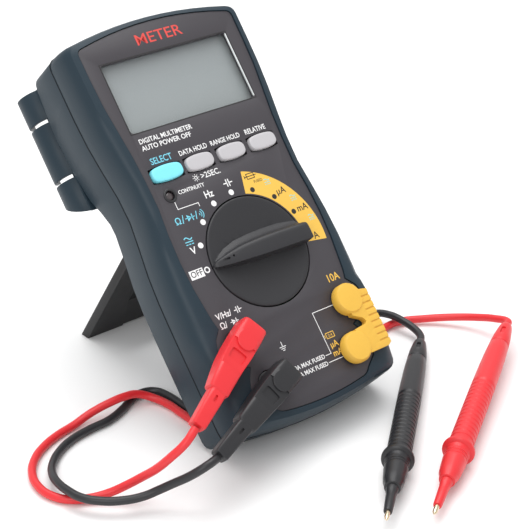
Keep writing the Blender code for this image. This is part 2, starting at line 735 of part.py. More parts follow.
def buttons():
    flange_top = -PANEL_THICKNESS - GAP
    foot = flange_top - 2.6 * MM
    for index, name in enumerate(BUTTON_NAMES):
        centre = Vector((BUTTON_FIRST + index * BUTTON_PITCH, BUTTON_V))
        cap = [(u - centre.x, v - centre.y) for u, v in button_outline(index)]
        crown = [(u * 0.93, v * 0.86) for u, v in cap]
        wide = [(u * 1.12, v * 1.24) for u, v in cap]
        rings = [
            level(wide, foot),
            level(wide, flange_top),
            level(cap, flange_top),
            level(cap, BUTTON_PROUD - 0.5 * MM),
            level(crown, BUTTON_PROUD),
        ]
        finish = CYAN if index == 0 else GREY
        smooth(add_node(name, loft(rings), finish, place=(centre.x, centre.y, 0.0)), 50.0)
    half = BUTTON_PITCH * 2
    top = foot - BUTTON_TRAVEL - 2 * GAP
    add_node("keypad_membrane", slab(-half + 0.5 * MM, half, BUTTON_V - 6.0 * MM, BUTTON_V + 6.0 * MM,
                                     -BOARD_DEPTH + GAP, top), SILICONE)


def continuity_lamp():
    profile = [
        (-BOARD_DEPTH + GAP, LAMP_RADIUS + 0.3 * MM),
        (-PANEL_THICKNESS - MM, LAMP_RADIUS + 0.3 * MM),
        (-PANEL_THICKNESS - MM, LAMP_RADIUS),
        (-0.8 * MM, LAMP_RADIUS),
        (-0.3 * MM, LAMP_RADIUS * 0.6),
    ]
    smooth(add_node("continuity_lamp", turned(profile, 16), LENS, place=(LAMP_U, LAMP_V, 0.0)))


def dial():
    """Rotary switch: dished disc with a tapered bar, rotor below it and a brass wiper."""
    profile = [
        (-PANEL_THICKNESS, DIAL_RADIUS),
        (-0.1 * MM, DIAL_RADIUS),
        (0.4 * MM, DIAL_RADIUS - 0.5 * MM),
        (0.5 * MM, DIAL_RADIUS - 1.6 * MM),
        (-0.3 * MM, DIAL_RADIUS - 8.0 * MM),
        (-0.4 * MM, 4.0 * MM),
    ]
    knob = smooth(add_node("function_knob", turned(profile, 48), BLACK), 30.0)
    reach = DIAL_RADIUS - 0.5 * MM
    stations = [
        (-reach, DIAL_BAR_TIP / 2, 2.0 * MM),
        (-reach * 0.72, 2.4 * MM, 5.4 * MM),
        (-reach * 0.3, 3.2 * MM, DIAL_BAR_HEIGHT),
        (reach * 0.55, DIAL_BAR_TAIL / 2, DIAL_BAR_HEIGHT),
        (reach * 0.96, DIAL_BAR_TAIL / 2 - 0.4 * MM, DIAL_BAR_HEIGHT - 1.2 * MM),
    ]
    rings = []
    for u, half, height in stations:
        crest = half * 0.8
        rings.append([
            (u, -half * 1.25, -MM),
            (u, -crest, height - 0.4 * MM),
            (u, -crest * 0.7, height),
            (u, crest * 0.7, height),
            (u, crest, height - 0.4 * MM),
            (u, half * 1.25, -MM),
        ])
    combine(knob, add_node("dial_bar", loft(rings), BLACK), "UNION")
    shaft_low = -PANEL_THICKNESS - GAP - 1.2 * MM
    combine(knob, add_node("dial_shaft", rod(0.0, 0.0, SHAFT_RADIUS, shaft_low, -MM, 16), BLACK), "UNION")
    rotor_top = -PANEL_THICKNESS - GAP
    rotor_low = -BOARD_DEPTH + 1.4 * MM
    rotor = tube(0.0, 0.0, ROTOR_RADIUS, SHAFT_RADIUS + GAP, rotor_low, rotor_top, 32)
    smooth(add_node("knob_rotor", rotor, CREAM))
    wiper_top = rotor_low - GAP
    wiper_low = wiper_top - WIPER_THICKNESS
    wiper = tube(0.0, 0.0, ROTOR_RADIUS - 2.0 * MM, WIPER_BORE, wiper_low, wiper_top, 32)
    smooth(add_node("rotor_wiper", wiper, BRASS))


# ---- inside ----
def board():
    top = -BOARD_DEPTH
    outline_points = round_box(2 * BOARD_HALF_WIDTH, BOARD_TOP - BOARD_BOTTOM, 2.0 * MM, 0.0,
                               (BOARD_TOP + BOARD_BOTTOM) / 2, 2)
    add_node("circuit_board", prism(outline_points, top - BOARD_THICKNESS, top), BOARD)
    under = top - BOARD_THICKNESS - GAP
    smooth(add_node("buzzer", rod(-18.0 * MM, 45.0 * MM, 6.0 * MM, under - 5.0 * MM, under, 20), BLACK))


def fuses():
    w = -CASE_DEPTH + WALL + GAP + FUSE_RADIUS + 1.6 * MM
    for name, side in (("10a", 1), ("ma", -1)):
        body = rod(0.0, 0.0, FUSE_RADIUS, 0.0, FUSE_LENGTH, 16)
        bmesh.ops.rotate(body, matrix=Matrix.Rotation(-math.pi / 2, 3, "X"), verts=body.verts)
        place = (side * FUSE_U, FUSE_BOTTOM, w)
        smooth(add_node("fuse_" + name, body, FUSE, place=place))
        half = FUSE_RADIUS + GAP
        high = FUSE_LENGTH + GAP
        cradle = slab(-half - 0.5 * MM, half + 0.5 * MM, -2.0 * MM, high + 1.7 * MM,
                      -FUSE_RADIUS - 1.6 * MM, 0.6 * MM)
        holder = add_node("fuse_holder_" + name, cradle, BLACK, place=place)
        pocket = slab(-half, half, -GAP, high, -FUSE_RADIUS - GAP, 5.0 * MM)
        combine(holder, add_node("fuse_pocket_" + name, pocket, BLACK, place=place), "DIFFERENCE")


def batteries():
    low = -CASE_DEPTH + WALL + 0.2 * MM
    w = low + GAP + CELL_RADIUS
    for i, side in enumerate((-1, 1)):
        sign = 1 if side > 0 else -1
        profile = [
            (0.0, CELL_RADIUS),
            (CELL_LENGTH - 1.5 * MM, CELL_RADIUS),
            (CELL_LENGTH - 1.5 * MM, 2.7 * MM),
            (CELL_LENGTH, 2.7 * MM),
        ]
        body = turned(profile, 20)
        bmesh.ops.rotate(body, matrix=Matrix.Rotation(-math.pi / 2 * sign, 3, "X"), verts=body.verts)
        start = CELL_BOTTOM if sign > 0 else CELL_BOTTOM + CELL_LENGTH
        smooth(add_node("battery_%d" % (i + 1), body, CELL, place=(side * CELL_PITCH / 2, start, w)))
    half = CELL_PITCH / 2 + CELL_RADIUS + GAP
    bottom = CELL_BOTTOM - 1.2 * MM
    top = CELL_BOTTOM + CELL_LENGTH + 1.2 * MM
    high = low + 2 * CELL_RADIUS - 1.4 * MM
    tray = add_node("battery_tray", slab(-half - MM, half + MM, bottom - MM, top + MM, low, high), BLACK)
    room = slab(-half, half, bottom, top, low - MM, high + MM)
    combine(tray, add_node("tray_room", room, BLACK), "DIFFERENCE")
    boss = slab(-3.6 * MM, 3.6 * MM, top + 0.5 * MM, DOOR_SCREW_V + 3.6 * MM, low, low + 7.0 * MM)
    combine(tray, add_node("tray_boss", boss, BLACK), "UNION")
    bore = rod(0.0, DOOR_SCREW_V, SCREW_SHANK + GAP, low - MM, low + 6.2 * MM, 12)
    combine(tray, add_node("tray_bore", bore, BLACK), "DIFFERENCE")
    strip = 0.5 * MM
    for name, u0, u1, v in (
            ("battery_link", -half + MM, half - MM, bottom + GAP),
            ("battery_contact_1", -half + MM, -1.0 * MM, top - GAP - strip),
            ("battery_contact_2", 1.0 * MM, half - MM, top - GAP - strip)):
        add_node(name, slab(u0, u1, v, v + strip, low + 1.5 * MM, high - 1.0 * MM), STEEL)


# ---- jacks ----
def jack_block():
    """One moulding: a flange under the panel and four insulated sleeves."""
    top = -PANEL_THICKNESS - GAP
    pieces = []
    necks = []
    bores = []
    for u, v in JACKS.values():
        pieces.append(rod(u, v, JACK_SLEEVE, -BOARD_DEPTH, -0.2 * MM, 24))
        necks.append(rod(u, v, JACK_NECK, -JACK_DEPTH, -BOARD_DEPTH + MM, 24))
        bores.append(rod(u, v, JACK_SOCKET + GAP, -JACK_DEPTH - MM, MM, 20))
    a = JACKS["10a"]
    b = JACKS["ma"]
    inset = 4.0 * MM
    web = [
        (inset - a[0], a[1] + 3.0 * MM),
        (inset - b[0], b[1] - 3.0 * MM),
        (b[0] - inset, b[1] - 3.0 * MM),
        (a[0] - inset, a[1] + 3.0 * MM),
    ]
    block = add_node("jack_block", prism(web, top - 2.0 * MM, top), BLACK)
    combine(block, add_node("jack_sleeves", merge(*pieces), BLACK), "UNION")
    combine(block, add_node("jack_necks", merge(*necks), BLACK), "UNION")
    combine(block, add_node("jack_bores", merge(*bores), BLACK), "DIFFERENCE")
    for name, (u, v) in JACKS.items():
        smooth(add_node("jack_socket_" + name,
                        tube(u, v, JACK_SOCKET, JACK_BORE, -JACK_DEPTH + 0.5 * MM, -1.2 * MM, 20), BRASS))


def jack_cover():
    """Soft yellow cover: two caps with stubs in the jacks, two arms and a finger tab."""
    low = RIM_RISE + GAP
    a = JACKS["10a"]
    b = JACKS["ma"]
    tab = [
        (COVER_TAB_OUTER, COVER_TAB_TOP),
        (COVER_TAB_INNER, COVER_TAB_TOP + 1.5 * MM),
        (a[0] + 2.0 * MM, a[1] + 3.0 * MM),
        (a[0] - 2.0 * MM, a[1] - 4.0 * MM),
        (a[0] - 2.0 * MM, a[1] - 6.6 * MM),
        (COVER_TAB_INNER - 0.8 * MM, a[1] - 8.9 * MM),
        (COVER_TAB_INNER, a[1] - 10.4 * MM),
        (COVER_TAB_INNER - 0.8 * MM, a[1] - 11.3 * MM),
        (b[0] + 2.2 * MM, b[1] + 6.2 * MM),
        (b[0] + 2.0 * MM, b[1] - 3.4 * MM),
        (b[0] + 5.0 * MM, COVER_TAB_BOTTOM),
        (COVER_TAB_OUTER - 1.6 * MM, COVER_TAB_BOTTOM),
        (COVER_TAB_OUTER, COVER_TAB_BOTTOM + 1.0 * MM),
    ]
    body = add_node("jack_cover", prism(tab, low, low + COVER_ARM), YELLOW)
    caps = []
    for u, v in (a, b):
        rings = [
            [(x, y, low) for x, y in circle(u, v, CAP_RADIUS, 24)],
            [(x, y, low + CAP_HEIGHT - MM) for x, y in circle(u, v, CAP_RADIUS, 24)],
            [(x, y, low + CAP_HEIGHT) for x, y in circle(u, v, CAP_RADIUS - 0.8 * MM, 24)],
        ]
        caps.append(loft(rings))
    combine(body, add_node("cover_caps", merge(*caps), YELLOW), "UNION")
    stubs = [rod(u, v, PIN_RADIUS, -COVER_STUB, low + MM, 16) for u, v in (a, b)]
    combine(body, add_node("cover_stubs", merge(*stubs), YELLOW), "UNION")
    grooves = []
    top = low + COVER_ARM
    half = COVER_GROOVE / 2
    for i in range(COVER_GROOVES):
        v = COVER_TAB_TOP - (i + 0.9) * COVER_GROOVE_PITCH
        grooves.append(slab(COVER_TAB_INNER + 2.0 * MM, COVER_TAB_OUTER + MM, v - half, v + half,
                            top - 2 * COVER_GROOVE / 3, top + MM))
    combine(body, add_node("cover_grooves", merge(*grooves), YELLOW), "DIFFERENCE")


# ---- back of the case ----
def stand():
    """Plate with a window, hinged at its head; its frame runs down the open plate."""
    hinge = bpy.data.objects.new("stand_hinge", None)
    bpy.context.collection.objects.link(hinge)
    hinge.parent = face
    hinge.location = (0.0, HINGE_V, -CASE_DEPTH - HINGE_RISE)
    hinge.rotation_euler = (STAND_OPEN, 0.0, 0.0)
    slope = math.radians(180.0) - STAND_OPEN - FACE_TILT
    below_face = CASE_DEPTH + HINGE_RISE
    hinge_height = DIAL_HEIGHT + HINGE_V * math.sin(FACE_TILT) - below_face * math.cos(FACE_TILT)
    length = hinge_height / math.sin(slope) + STAND_THICKNESS
    half = STAND_THICKNESS / 2
    plate = [
        (-STAND_HALF_WIDTH, 0.0),
        (-STAND_HALF_WIDTH, -length),
        (STAND_HALF_WIDTH, -length),
        (STAND_HALF_WIDTH, 0.0),
    ]
    body = add_node("tilt_stand", prism(plate, -half, half), BLACK, parent=hinge)
    barrel = rod(0.0, 0.0, half + 0.6 * MM, -STAND_HALF_WIDTH, STAND_HALF_WIDTH, 20)
    bmesh.ops.rotate(barrel, matrix=Matrix.Rotation(math.pi / 2, 3, "Y"), verts=barrel.verts)
    combine(body, add_node("stand_barrel", barrel, BLACK, parent=hinge), "UNION")
    bore = rod(0.0, 0.0, HINGE_PIN + PIN_SLIP, -0.05, 0.05, 16)
    bmesh.ops.rotate(bore, matrix=Matrix.Rotation(math.pi / 2, 3, "Y"), verts=bore.verts)
    combine(body, add_node("stand_bore", bore, BLACK, parent=hinge), "DIFFERENCE")
    foot = hinge_height / math.sin(slope)
    window = slab(-STAND_WINDOW_HALF, STAND_WINDOW_HALF, -foot + STAND_WINDOW_FOOT, -STAND_WINDOW_HEAD,
                  -0.01, 0.01)
    combine(body, add_node("stand_window", window, BLACK, parent=hinge), "DIFFERENCE")
    combine(body, floor_cutter("surface_under_stand"), "DIFFERENCE")
    notch = slab(-FOOT_NOTCH_HALF, FOOT_NOTCH_HALF, 0.0, 0.2, -MM, FOOT_NOTCH)
    combine(body, add_node("foot_notch", notch, BLACK, parent=bench), "DIFFERENCE")
    end = STAND_HALF_WIDTH + HINGE_EAR
    pin = rod(0.0, 0.0, HINGE_PIN, -end, end, 16)
    bmesh.ops.rotate(pin, matrix=Matrix.Rotation(math.pi / 2, 3, "Y"), verts=pin.verts)
    smooth(add_node("stand_pin", pin, STEEL, place=tuple(hinge.location)))


def probe_clips():
    """Each side: a strip on the back with three open rings that hold a probe."""
    base_top = -HUMP_DEPTH - GAP
    centre_w = base_top - CLIP_OUTER
    for name, side in (("probe_clip_left", -1), ("probe_clip_right", 1)):
        low_v = CLIP_SPANS[-1][0]
        high_v = CLIP_SPANS[0][1]
        inner = side * (CLIP_U - CLIP_OUTER)
        outer = side * (CLIP_U + 0.4 * CLIP_OUTER)
        strip = slab(min(inner, outer), max(inner, outer), low_v, high_v, base_top - CLIP_BASE, base_top)
        body = add_node(name, strip, TEAL)
        start, stop = CLIP_MOUTH
        sweep = 360.0 - (stop - start)
        rings = []
        for v0, v1 in CLIP_SPANS:
            shape = []
            for radius, order in ((CLIP_OUTER, range(17)), (CLIP_INNER, reversed(range(17)))):
                for i in order:
                    a = math.radians(stop + sweep * i / 16)
                    shape.append((side * (CLIP_U + radius * math.cos(a)), centre_w - radius * math.sin(a)))
            rings.append(loft([[(u, v0, w) for u, w in shape], [(u, v1, w) for u, w in shape]]))
        fingers = add_node(name + "_fingers", merge(*rings), TEAL)
        combine(body, fingers, "UNION")
        (v0, depth0), (v1, depth1) = CLIP_SLANT
        before = v0 - 2 * CLIP_OUTER
        corners = [(v0, depth0), (v1, depth1), (before, depth1), (before, depth0)]
        wedge = side_profile(corners, 2 * CASE_HALF_WIDTH)
        combine(body, add_node(name + "_slant", wedge, TEAL), "DIFFERENCE")


# ---- test leads ----
def plug_frame(colour):
    u, v = JACKS[PLUG_JACK[colour]]
    frame = bpy.data.objects.new(colour + "_plug_frame", None)
    bpy.context.collection.objects.link(frame)
    frame.parent = face
    frame.location = (u, v, 0.0)
    frame.rotation_euler = (0.0, 0.0, PLUG_TURN[colour])
    return frame


def plug(colour, finish):
    frame = plug_frame(colour)
    rings = []
    for along, half, low, high in PLUG_STATIONS:
        middle = (low + high) / 2
        ring = []
        for i in range(16):
            a = math.tau * (i + 0.5) / 16
            c = math.copysign(abs(math.cos(a)) ** 0.62, math.cos(a))
            s = math.copysign(abs(math.sin(a)) ** 0.62, math.sin(a))
            ring.append((along, half * c, middle + (high - low) / 2 * s))
        rings.append(ring)
    smooth(add_node(colour + "_plug", loft(rings), finish, parent=frame), 50.0)
    pin = [(-PIN_LENGTH, PIN_RADIUS * 0.7), (-PIN_LENGTH + MM, PIN_RADIUS), (0.9 * MM, PIN_RADIUS)]
    smooth(add_node(colour + "_plug_pin", turned(pin, 16), BRASS, parent=frame))


def probe(colour, finish):
    aim = Vector(PROBE_AIM[colour]).normalized()
    frame = bpy.data.objects.new(colour + "_probe_frame", None)
    bpy.context.collection.objects.link(frame)
    frame.parent = bench
    frame.location = PROBE_TAIL[colour]
    frame.rotation_euler = aim.to_track_quat("Z", "Y").to_euler()
    tail = [(0.0, 2.4 * MM), (3.0 * MM, 2.9 * MM), (9.0 * MM, 3.6 * MM), (PROBE_TAIL_PIECE, 4.0 * MM)]
    smooth(add_node(colour + "_probe_tail", turned(tail), finish, parent=frame))
    smooth(add_node(colour + "_probe_handle", turned(PROBE_HANDLE), finish, parent=frame))
    smooth(add_node(colour + "_probe_sleeve", turned(PROBE_SLEEVE, 12), finish, parent=frame))
    smooth(add_node(colour + "_probe_needle", turned(PROBE_NEEDLE, 10), GOLD, parent=frame))


def spline_point(points, i, t):
    """Point on the smooth curve between point i and point i + 1, at share t of the way."""
    p0 = points[max(i - 1, 0)]
    p1 = points[i]
    p2 = points[i + 1]
    p3 = points[min(i + 2, len(points) - 1)]
    return 0.5 * (2 * p1 + (p2 - p0) * t + (2 * p0 - 5 * p1 + 4 * p2 - p3) * t ** 2
                  + (3 * p1 - p0 - 3 * p2 + p3) * t ** 3)


def foot_back():
    """How far back the case's back meets the surface it stands on, from the dial centre."""
    low = (CASE_DEPTH * math.cos(FACE_TILT) - DIAL_HEIGHT) / math.sin(FACE_TILT)
    return low * math.cos(FACE_TILT) + CASE_DEPTH * math.sin(FACE_TILT)


def cord(colour, route, finish):
    points = [Vector(p) * MM for p in route]
    behind = min(p[1] for p in RED_ROUTE if abs(p[0]) < FOOT_SPAN) * MM
    push = max(0.0, foot_back() + CORD_RADIUS + CORD_TO_FOOT - behind)
    for point in points:
        if abs(point.x) < FOOT_SPAN * MM:
            point.y += push
    fine = []
    for i in range(len(points) - 1):
        fine += [spline_point(points, i, t / 12) for t in range(12)]
    fine.append(points[-1])
    lengths = [0.0]
    for a, b in zip(fine, fine[1:]):
        lengths.append(lengths[-1] + (b - a).length)
    count = round(lengths[-1] / CORD_STEP)
    even = []
    k = 0
    for i in range(count + 1):
        target = lengths[-1] * i / count
        while k < len(fine) - 2 and lengths[k + 1] < target:
            k += 1
        t = (target - lengths[k]) / (lengths[k + 1] - lengths[k])
        even.append(fine[k].lerp(fine[k + 1], t))
    curve = bpy.data.curves.new(colour + "_cord", "CURVE")
    curve.dimensions = "3D"
    curve.bevel_depth = CORD_RADIUS
    curve.bevel_resolution = 2
    curve.use_fill_caps = True
    line = curve.splines.new("POLY")
    line.points.add(len(even) - 1)
    for spot, place in zip(line.points, even):
        spot.co = (*place, 1.0)
    curve.materials.append(finish)
    item = bpy.data.objects.new(colour + "_cord", curve)
    bpy.context.collection.objects.link(item)
    item.parent = bench


front_case()
rear_case()
battery_door()
screws()
face_panel()
display()
buttons()
continuity_lamp()
dial()
board()
fuses()
batteries()
jack_block()
jack_cover()
stand()
probe_clips()
plug("red", RED)
plug("black", LEAD_BLACK)
probe("red", RED)
probe("black", LEAD_BLACK)
cord("red", RED_ROUTE, RED)
cord("black", BLACK_ROUTE, LEAD_BLACK)
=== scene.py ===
import json
import math

import bmesh
import bpy
from mathutils import Matrix, Vector


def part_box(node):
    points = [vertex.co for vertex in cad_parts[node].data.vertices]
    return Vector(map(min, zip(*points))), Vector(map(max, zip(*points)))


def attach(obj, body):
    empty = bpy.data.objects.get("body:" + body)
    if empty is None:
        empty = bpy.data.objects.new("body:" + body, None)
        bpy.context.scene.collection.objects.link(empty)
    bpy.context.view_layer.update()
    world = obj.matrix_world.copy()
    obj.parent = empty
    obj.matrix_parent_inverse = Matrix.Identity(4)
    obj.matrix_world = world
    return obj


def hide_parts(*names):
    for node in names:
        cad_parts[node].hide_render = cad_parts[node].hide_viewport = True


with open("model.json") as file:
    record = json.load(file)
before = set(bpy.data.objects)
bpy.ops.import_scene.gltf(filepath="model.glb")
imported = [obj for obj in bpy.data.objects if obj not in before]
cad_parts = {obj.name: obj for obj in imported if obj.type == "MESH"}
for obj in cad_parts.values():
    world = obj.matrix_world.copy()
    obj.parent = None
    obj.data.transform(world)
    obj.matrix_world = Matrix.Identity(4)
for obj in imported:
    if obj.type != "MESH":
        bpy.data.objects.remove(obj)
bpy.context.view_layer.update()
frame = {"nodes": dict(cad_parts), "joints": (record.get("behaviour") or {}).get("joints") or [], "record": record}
bpy.ops.object.select_all(action="DESELECT")

# ---- the bench and its light ----
# A plain pale surface that the meter stands on, a wide soft light overhead and a smaller
# one from the front left. None of it belongs to the meter.
bpy.context.scene.view_settings.view_transform = "Standard"
eye = bpy.data.objects.new("eye", bpy.data.cameras.new("eye"))
bpy.context.scene.collection.objects.link(eye)
eye.data.lens = 114.65
eye.data.clip_start = 0.01
eye.location = (-0.36006, -0.46466, 0.35262)
eye.rotation_euler = (math.radians(62.475), 0.0, math.radians(-39.66))
bpy.context.scene.camera = eye

room = bpy.data.worlds.new("soft_room")
room.use_nodes = True
room.node_tree.nodes["Background"].inputs["Color"].default_value = (1.0, 1.0, 1.0, 1.0)
room.node_tree.nodes["Background"].inputs["Strength"].default_value = 0.72
bpy.context.scene.world = room

for name, place, size, power in (
        ("overhead", (0.10, 0.15, 0.95), 0.9, 7.6),
        ("front_left", (-0.85, -0.55, 0.75), 0.6, 3.6)):
    lamp = bpy.data.lights.new(name, "AREA")
    lamp.size = size
    lamp.energy = power
    softbox = bpy.data.objects.new(name, lamp)
    softbox.location = place
    softbox.rotation_euler = (Vector((0.0, 0.0, 0.05)) - Vector(place)).to_track_quat("-Z", "Y").to_euler()
    bpy.context.scene.collection.objects.link(softbox)

bpy.ops.mesh.primitive_plane_add(size=8.0, location=(0.0, 0.0, -0.0002))
floor = bpy.context.object
floor.name = "floor"
paper = bpy.data.materials.new("pale_paper")
paper.use_nodes = True
paper.node_tree.nodes["Principled BSDF"].inputs["Base Color"].default_value = (0.93, 0.93, 0.93, 1.0)
paper.node_tree.nodes["Principled BSDF"].inputs["Roughness"].default_value = 0.85
floor.data.materials.append(paper)


# ---- case ----
# Two deep shells of satin teal-blue ABS that meet at a seam along the flank, with a battery
# door in the back shell. Injection moulded with a fine spark-eroded grain.
class Signal:
    """One output of a shader, with arithmetic that adds Math nodes."""

    def __init__(self, tree, socket=None):
        self.tree = tree
        self.socket = socket

    def node(self, kind, settings=None, inputs=None, out=0):
        """Adds a node of this kind: its settings first, then its sockets' values or links."""
        made = self.tree.nodes.new(kind)
        for name, value in (settings or {}).items():
            if name == "stops":
                while len(made.color_ramp.elements) < len(value):
                    made.color_ramp.elements.new(0.5)
                for stop, (place, shade) in zip(made.color_ramp.elements, value):
                    stop.position = place
                    stop.color = (*shade, 1.0)
            else:
                setattr(made, name, value)
        for name, value in (inputs or {}).items():
            if isinstance(value, Signal):
                self.tree.links.new(value.socket, made.inputs[name])
            else:
                made.inputs[name].default_value = value
        return Signal(self.tree, made.outputs[out])

    def math(self, operation, first, second):
        return self.node("ShaderNodeMath", {"operation": operation}, {0: first, 1: second})

    def __add__(self, other):
        return self.math("ADD", self, other)

    def __sub__(self, other):
        return self.math("SUBTRACT", self, other)

    def __rsub__(self, other):
        return self.math("SUBTRACT", other, self)

    def __mul__(self, other):
        return self.math("MULTIPLY", self, other)

    __radd__ = __add__
    __rmul__ = __mul__


def srgb(red, green, blue):
    """Linear colour from the usual 0 to 255 numbers."""
    return tuple((c / 255.0 / 12.92) if c < 11 else ((c / 255.0 + 0.055) / 1.055) ** 2.4
                 for c in (red, green, blue))


def moulded(name, colour, roughness, grain=1500.0, depth=0.00002, mottle=0.08, coat=0.0, metal=0.0,
            gleam=0.5):
    """Moulded or turned material: a fine even grain, a slow drift of tone and an uneven gloss."""
    made = bpy.data.materials.new(name)
    made.use_nodes = True
    shader = made.node_tree.nodes["Principled BSDF"]
    start = Signal(made.node_tree)
    place = start.node("ShaderNodeTexCoord", out="Object")
    drift = start.node("ShaderNodeTexNoise", None, {"Vector": place, "Scale": 70.0, "Detail": 3.0})
    speck = start.node("ShaderNodeTexNoise", None, {"Vector": place, "Scale": grain, "Detail": 2.0})
    dark = tuple(c * (1.0 - mottle) for c in colour)
    light = tuple(min(1.0, c * (1.0 + mottle)) for c in colour)
    tone = start.node("ShaderNodeMix", {"data_type": "RGBA"},
                      {0: drift * 0.6 + speck * 0.4, 6: (*dark, 1.0), 7: (*light, 1.0)}, out=2)
    bump = start.node("ShaderNodeBump", None, {"Strength": 1.0, "Distance": depth, "Height": speck})
    made.node_tree.links.new(tone.socket, shader.inputs["Base Color"])
    made.node_tree.links.new((drift * 0.12 + speck * 0.08 + (roughness - 0.10)).socket,
                             shader.inputs["Roughness"])
    made.node_tree.links.new(bump.socket, shader.inputs["Normal"])
    shader.inputs["Metallic"].default_value = metal
    shader.inputs["Specular IOR Level"].default_value = gleam
    shader.inputs["Coat Weight"].default_value = coat
    shader.inputs["Coat Roughness"].default_value = 0.25
    return made


def only(piece):
    """Makes this piece the one that is selected and active."""
    bpy.ops.object.select_all(action="DESELECT")
    piece.select_set(True)
    bpy.context.view_layer.objects.active = piece
    return piece


def bevelled(piece, width, steps=3, angle=35.0):
    """Rounds the edges that are sharper than the angle, and applies it."""
    only(piece)
    round_off = piece.modifiers.new("round_off", "BEVEL")
    round_off.width = width
    round_off.segments = steps
    round_off.limit_method = "ANGLE"
    round_off.angle_limit = math.radians(angle)
    round_off.harden_normals = False
    bpy.ops.object.modifier_apply(modifier=round_off.name)
    return piece


def finished(piece, name, body, finish, stands_for=(), smooth=40.0):
    """Names the piece, gives it its material, lets it ride and hides the CAD parts it stands for."""
    only(piece)
    piece.name = piece.data.name = name
    piece.data.materials.clear()
    piece.data.materials.append(finish)
    bpy.ops.object.shade_smooth_by_angle(angle=math.radians(smooth))
    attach(piece, body)
    if stands_for:
        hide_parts(*stands_for)
    return piece


def skin_of(node):
    """A merged copy of a CAD node's mesh, with its flat faces whole again."""
    mesh = frame["nodes"][node].data.copy()
    piece = bpy.data.objects.new(node + "_skin", mesh)
    bpy.context.scene.collection.objects.link(piece)
    only(piece)
    bpy.ops.object.mode_set(mode="EDIT")
    bpy.ops.mesh.select_all(action="SELECT")
    bpy.ops.mesh.remove_doubles(threshold=2e-6)
    bpy.ops.mesh.customdata_custom_splitnormals_clear()
    bpy.ops.mesh.dissolve_limited(angle_limit=math.radians(0.4))
    bpy.ops.object.mode_set(mode="OBJECT")
    return piece


def pick(piece, kind, test):
    """In edit mode, selects the faces, edges or corners whose centre and direction pass the test."""
    bpy.ops.mesh.select_mode(type=kind)
    bpy.ops.mesh.select_all(action="DESELECT")
    work = bmesh.from_edit_mesh(piece.data)
    if kind == "FACE":
        for face in work.faces:
            face.select_set(test(face.calc_center_median(), face.normal))
    elif kind == "EDGE":
        for edge in work.edges:
            a, b = edge.verts
            edge.select_set(test((a.co + b.co) / 2, (b.co - a.co).normalized()))
    else:
        for corner in work.verts:
            corner.select_set(test(corner.co, None))
    bmesh.update_edit_mesh(piece.data)


teal = moulded("teal_abs", srgb(36, 51, 61), 0.42, depth=0.000012, mottle=0.05, gleam=0.28)
for node, width in (("front_case", 0.0005), ("rear_case", 0.0009), ("battery_door", 0.0003)):
    shell = bevelled(skin_of(node), width, 3, 50.0 if node == "front_case" else 32.0)
    finished(shell, node + "_shell", "meter", teal, [node])

turn = next(joint for joint in frame["joints"] if joint["name"] == "knob_turn")
dial_centre = Vector(turn["pos_m"])
normal = Vector(turn["axis"])
# A thin near-black ring laid into the seam between the shells: painted shade standing in for the shadow in the gap
# between them.
seam_depth = 0.014
shade_ring_thickness = 0.00045
shade_ring = only(skin_of("rear_case"))
bpy.ops.object.mode_set(mode="EDIT")
pick(shade_ring, "FACE", lambda co, way: way.dot(normal) > 0.98
     and abs((co - dial_centre).dot(normal) + seam_depth) < 0.0005)
bpy.ops.mesh.select_all(action="INVERT")
bpy.ops.mesh.delete(type="FACE")
bpy.ops.mesh.select_all(action="SELECT")
bpy.ops.mesh.extrude_region_move(TRANSFORM_OT_translate={"value": normal * shade_ring_thickness})
bpy.ops.mesh.select_all(action="SELECT")
bpy.ops.mesh.normals_make_consistent(inside=False)
bpy.ops.object.mode_set(mode="OBJECT")
swell = 1.0022  # brings the dark ring's rim just past the shells
shade_ring.data.transform(Matrix.Translation(dial_centre) @ Matrix.Scale(swell, 4)
                    @ Matrix.Translation(-dial_centre))
seam_shade_black = moulded("seam_painted_shade", srgb(16, 17, 19), 0.70, grain=1200.0, depth=0.000006, gleam=0.2)
finished(shade_ring, "seam_shade_ring", "meter", seam_shade_black)


# ---- face panel and its printing ----
# A charcoal plate, moulded with a finer grain than the case, let into the front shell. The
# legends are screen-printed on it in white, cyan, yellow, red and black ink.
across = Vector((1.0, 0.0, 0.0))
upward = normal.cross(across)
FACE = Matrix.Translation(turn["pos_m"]) @ Matrix((
    (across.x, upward.x, normal.x, 0.0),
    (across.y, upward.y, normal.y, 0.0),
    (across.z, upward.z, normal.z, 0.0),
    (0.0, 0.0, 0.0, 1.0))) @ Matrix.Scale(0.001, 4)

charcoal = moulded("charcoal_panel", srgb(62, 59, 64), 0.46, grain=2200.0, depth=0.000008, mottle=0.06)
plate = bevelled(skin_of("face_panel"), 0.00018, 2, 50.0)
finished(plate, "face_plate", "meter", charcoal, ["face_panel"], 30.0)


def ink(name, colour):
    return moulded(name, colour, 0.50, grain=3000.0, depth=0.000003, mottle=0.05)


inks = {
    "white": ink("white_ink", srgb(238, 238, 238)),
    "cyan": ink("cyan_ink", srgb(120, 205, 225)),
    "yellow": ink("yellow_ink", srgb(232, 186, 78)),
    "red": ink("red_ink", srgb(214, 72, 66)),
    "black": ink("black_ink", srgb(34, 33, 34)),
    "pale": ink("pale_ink", srgb(168, 203, 186)),
}
printed = {shade: [] for shade in inks}
INK_THICKNESS = 0.03


def letters(text, u, v, cap, shade, align="LEFT", width=1.0, weight=0.0, lift=0.0):
    """Prints text with its baseline at (u, v) and capitals of this height, in millimetres."""
    bpy.ops.object.text_add()
    line = bpy.context.object
    line.data.body = text
    line.data.size = cap / 0.72
    line.data.align_x = align
    line.data.offset = weight
    line.data.extrude = INK_THICKNESS / 2
    line.data.resolution_u = 3
    only(line)
    bpy.ops.object.convert(target="MESH")
    line = bpy.context.object
    line.data.transform(Matrix.Translation((u, v, INK_THICKNESS / 2 + lift))
                        @ Matrix.Diagonal((width, 1.0, 1.0, 1.0)))
    printed[shade].append(line)
    return line


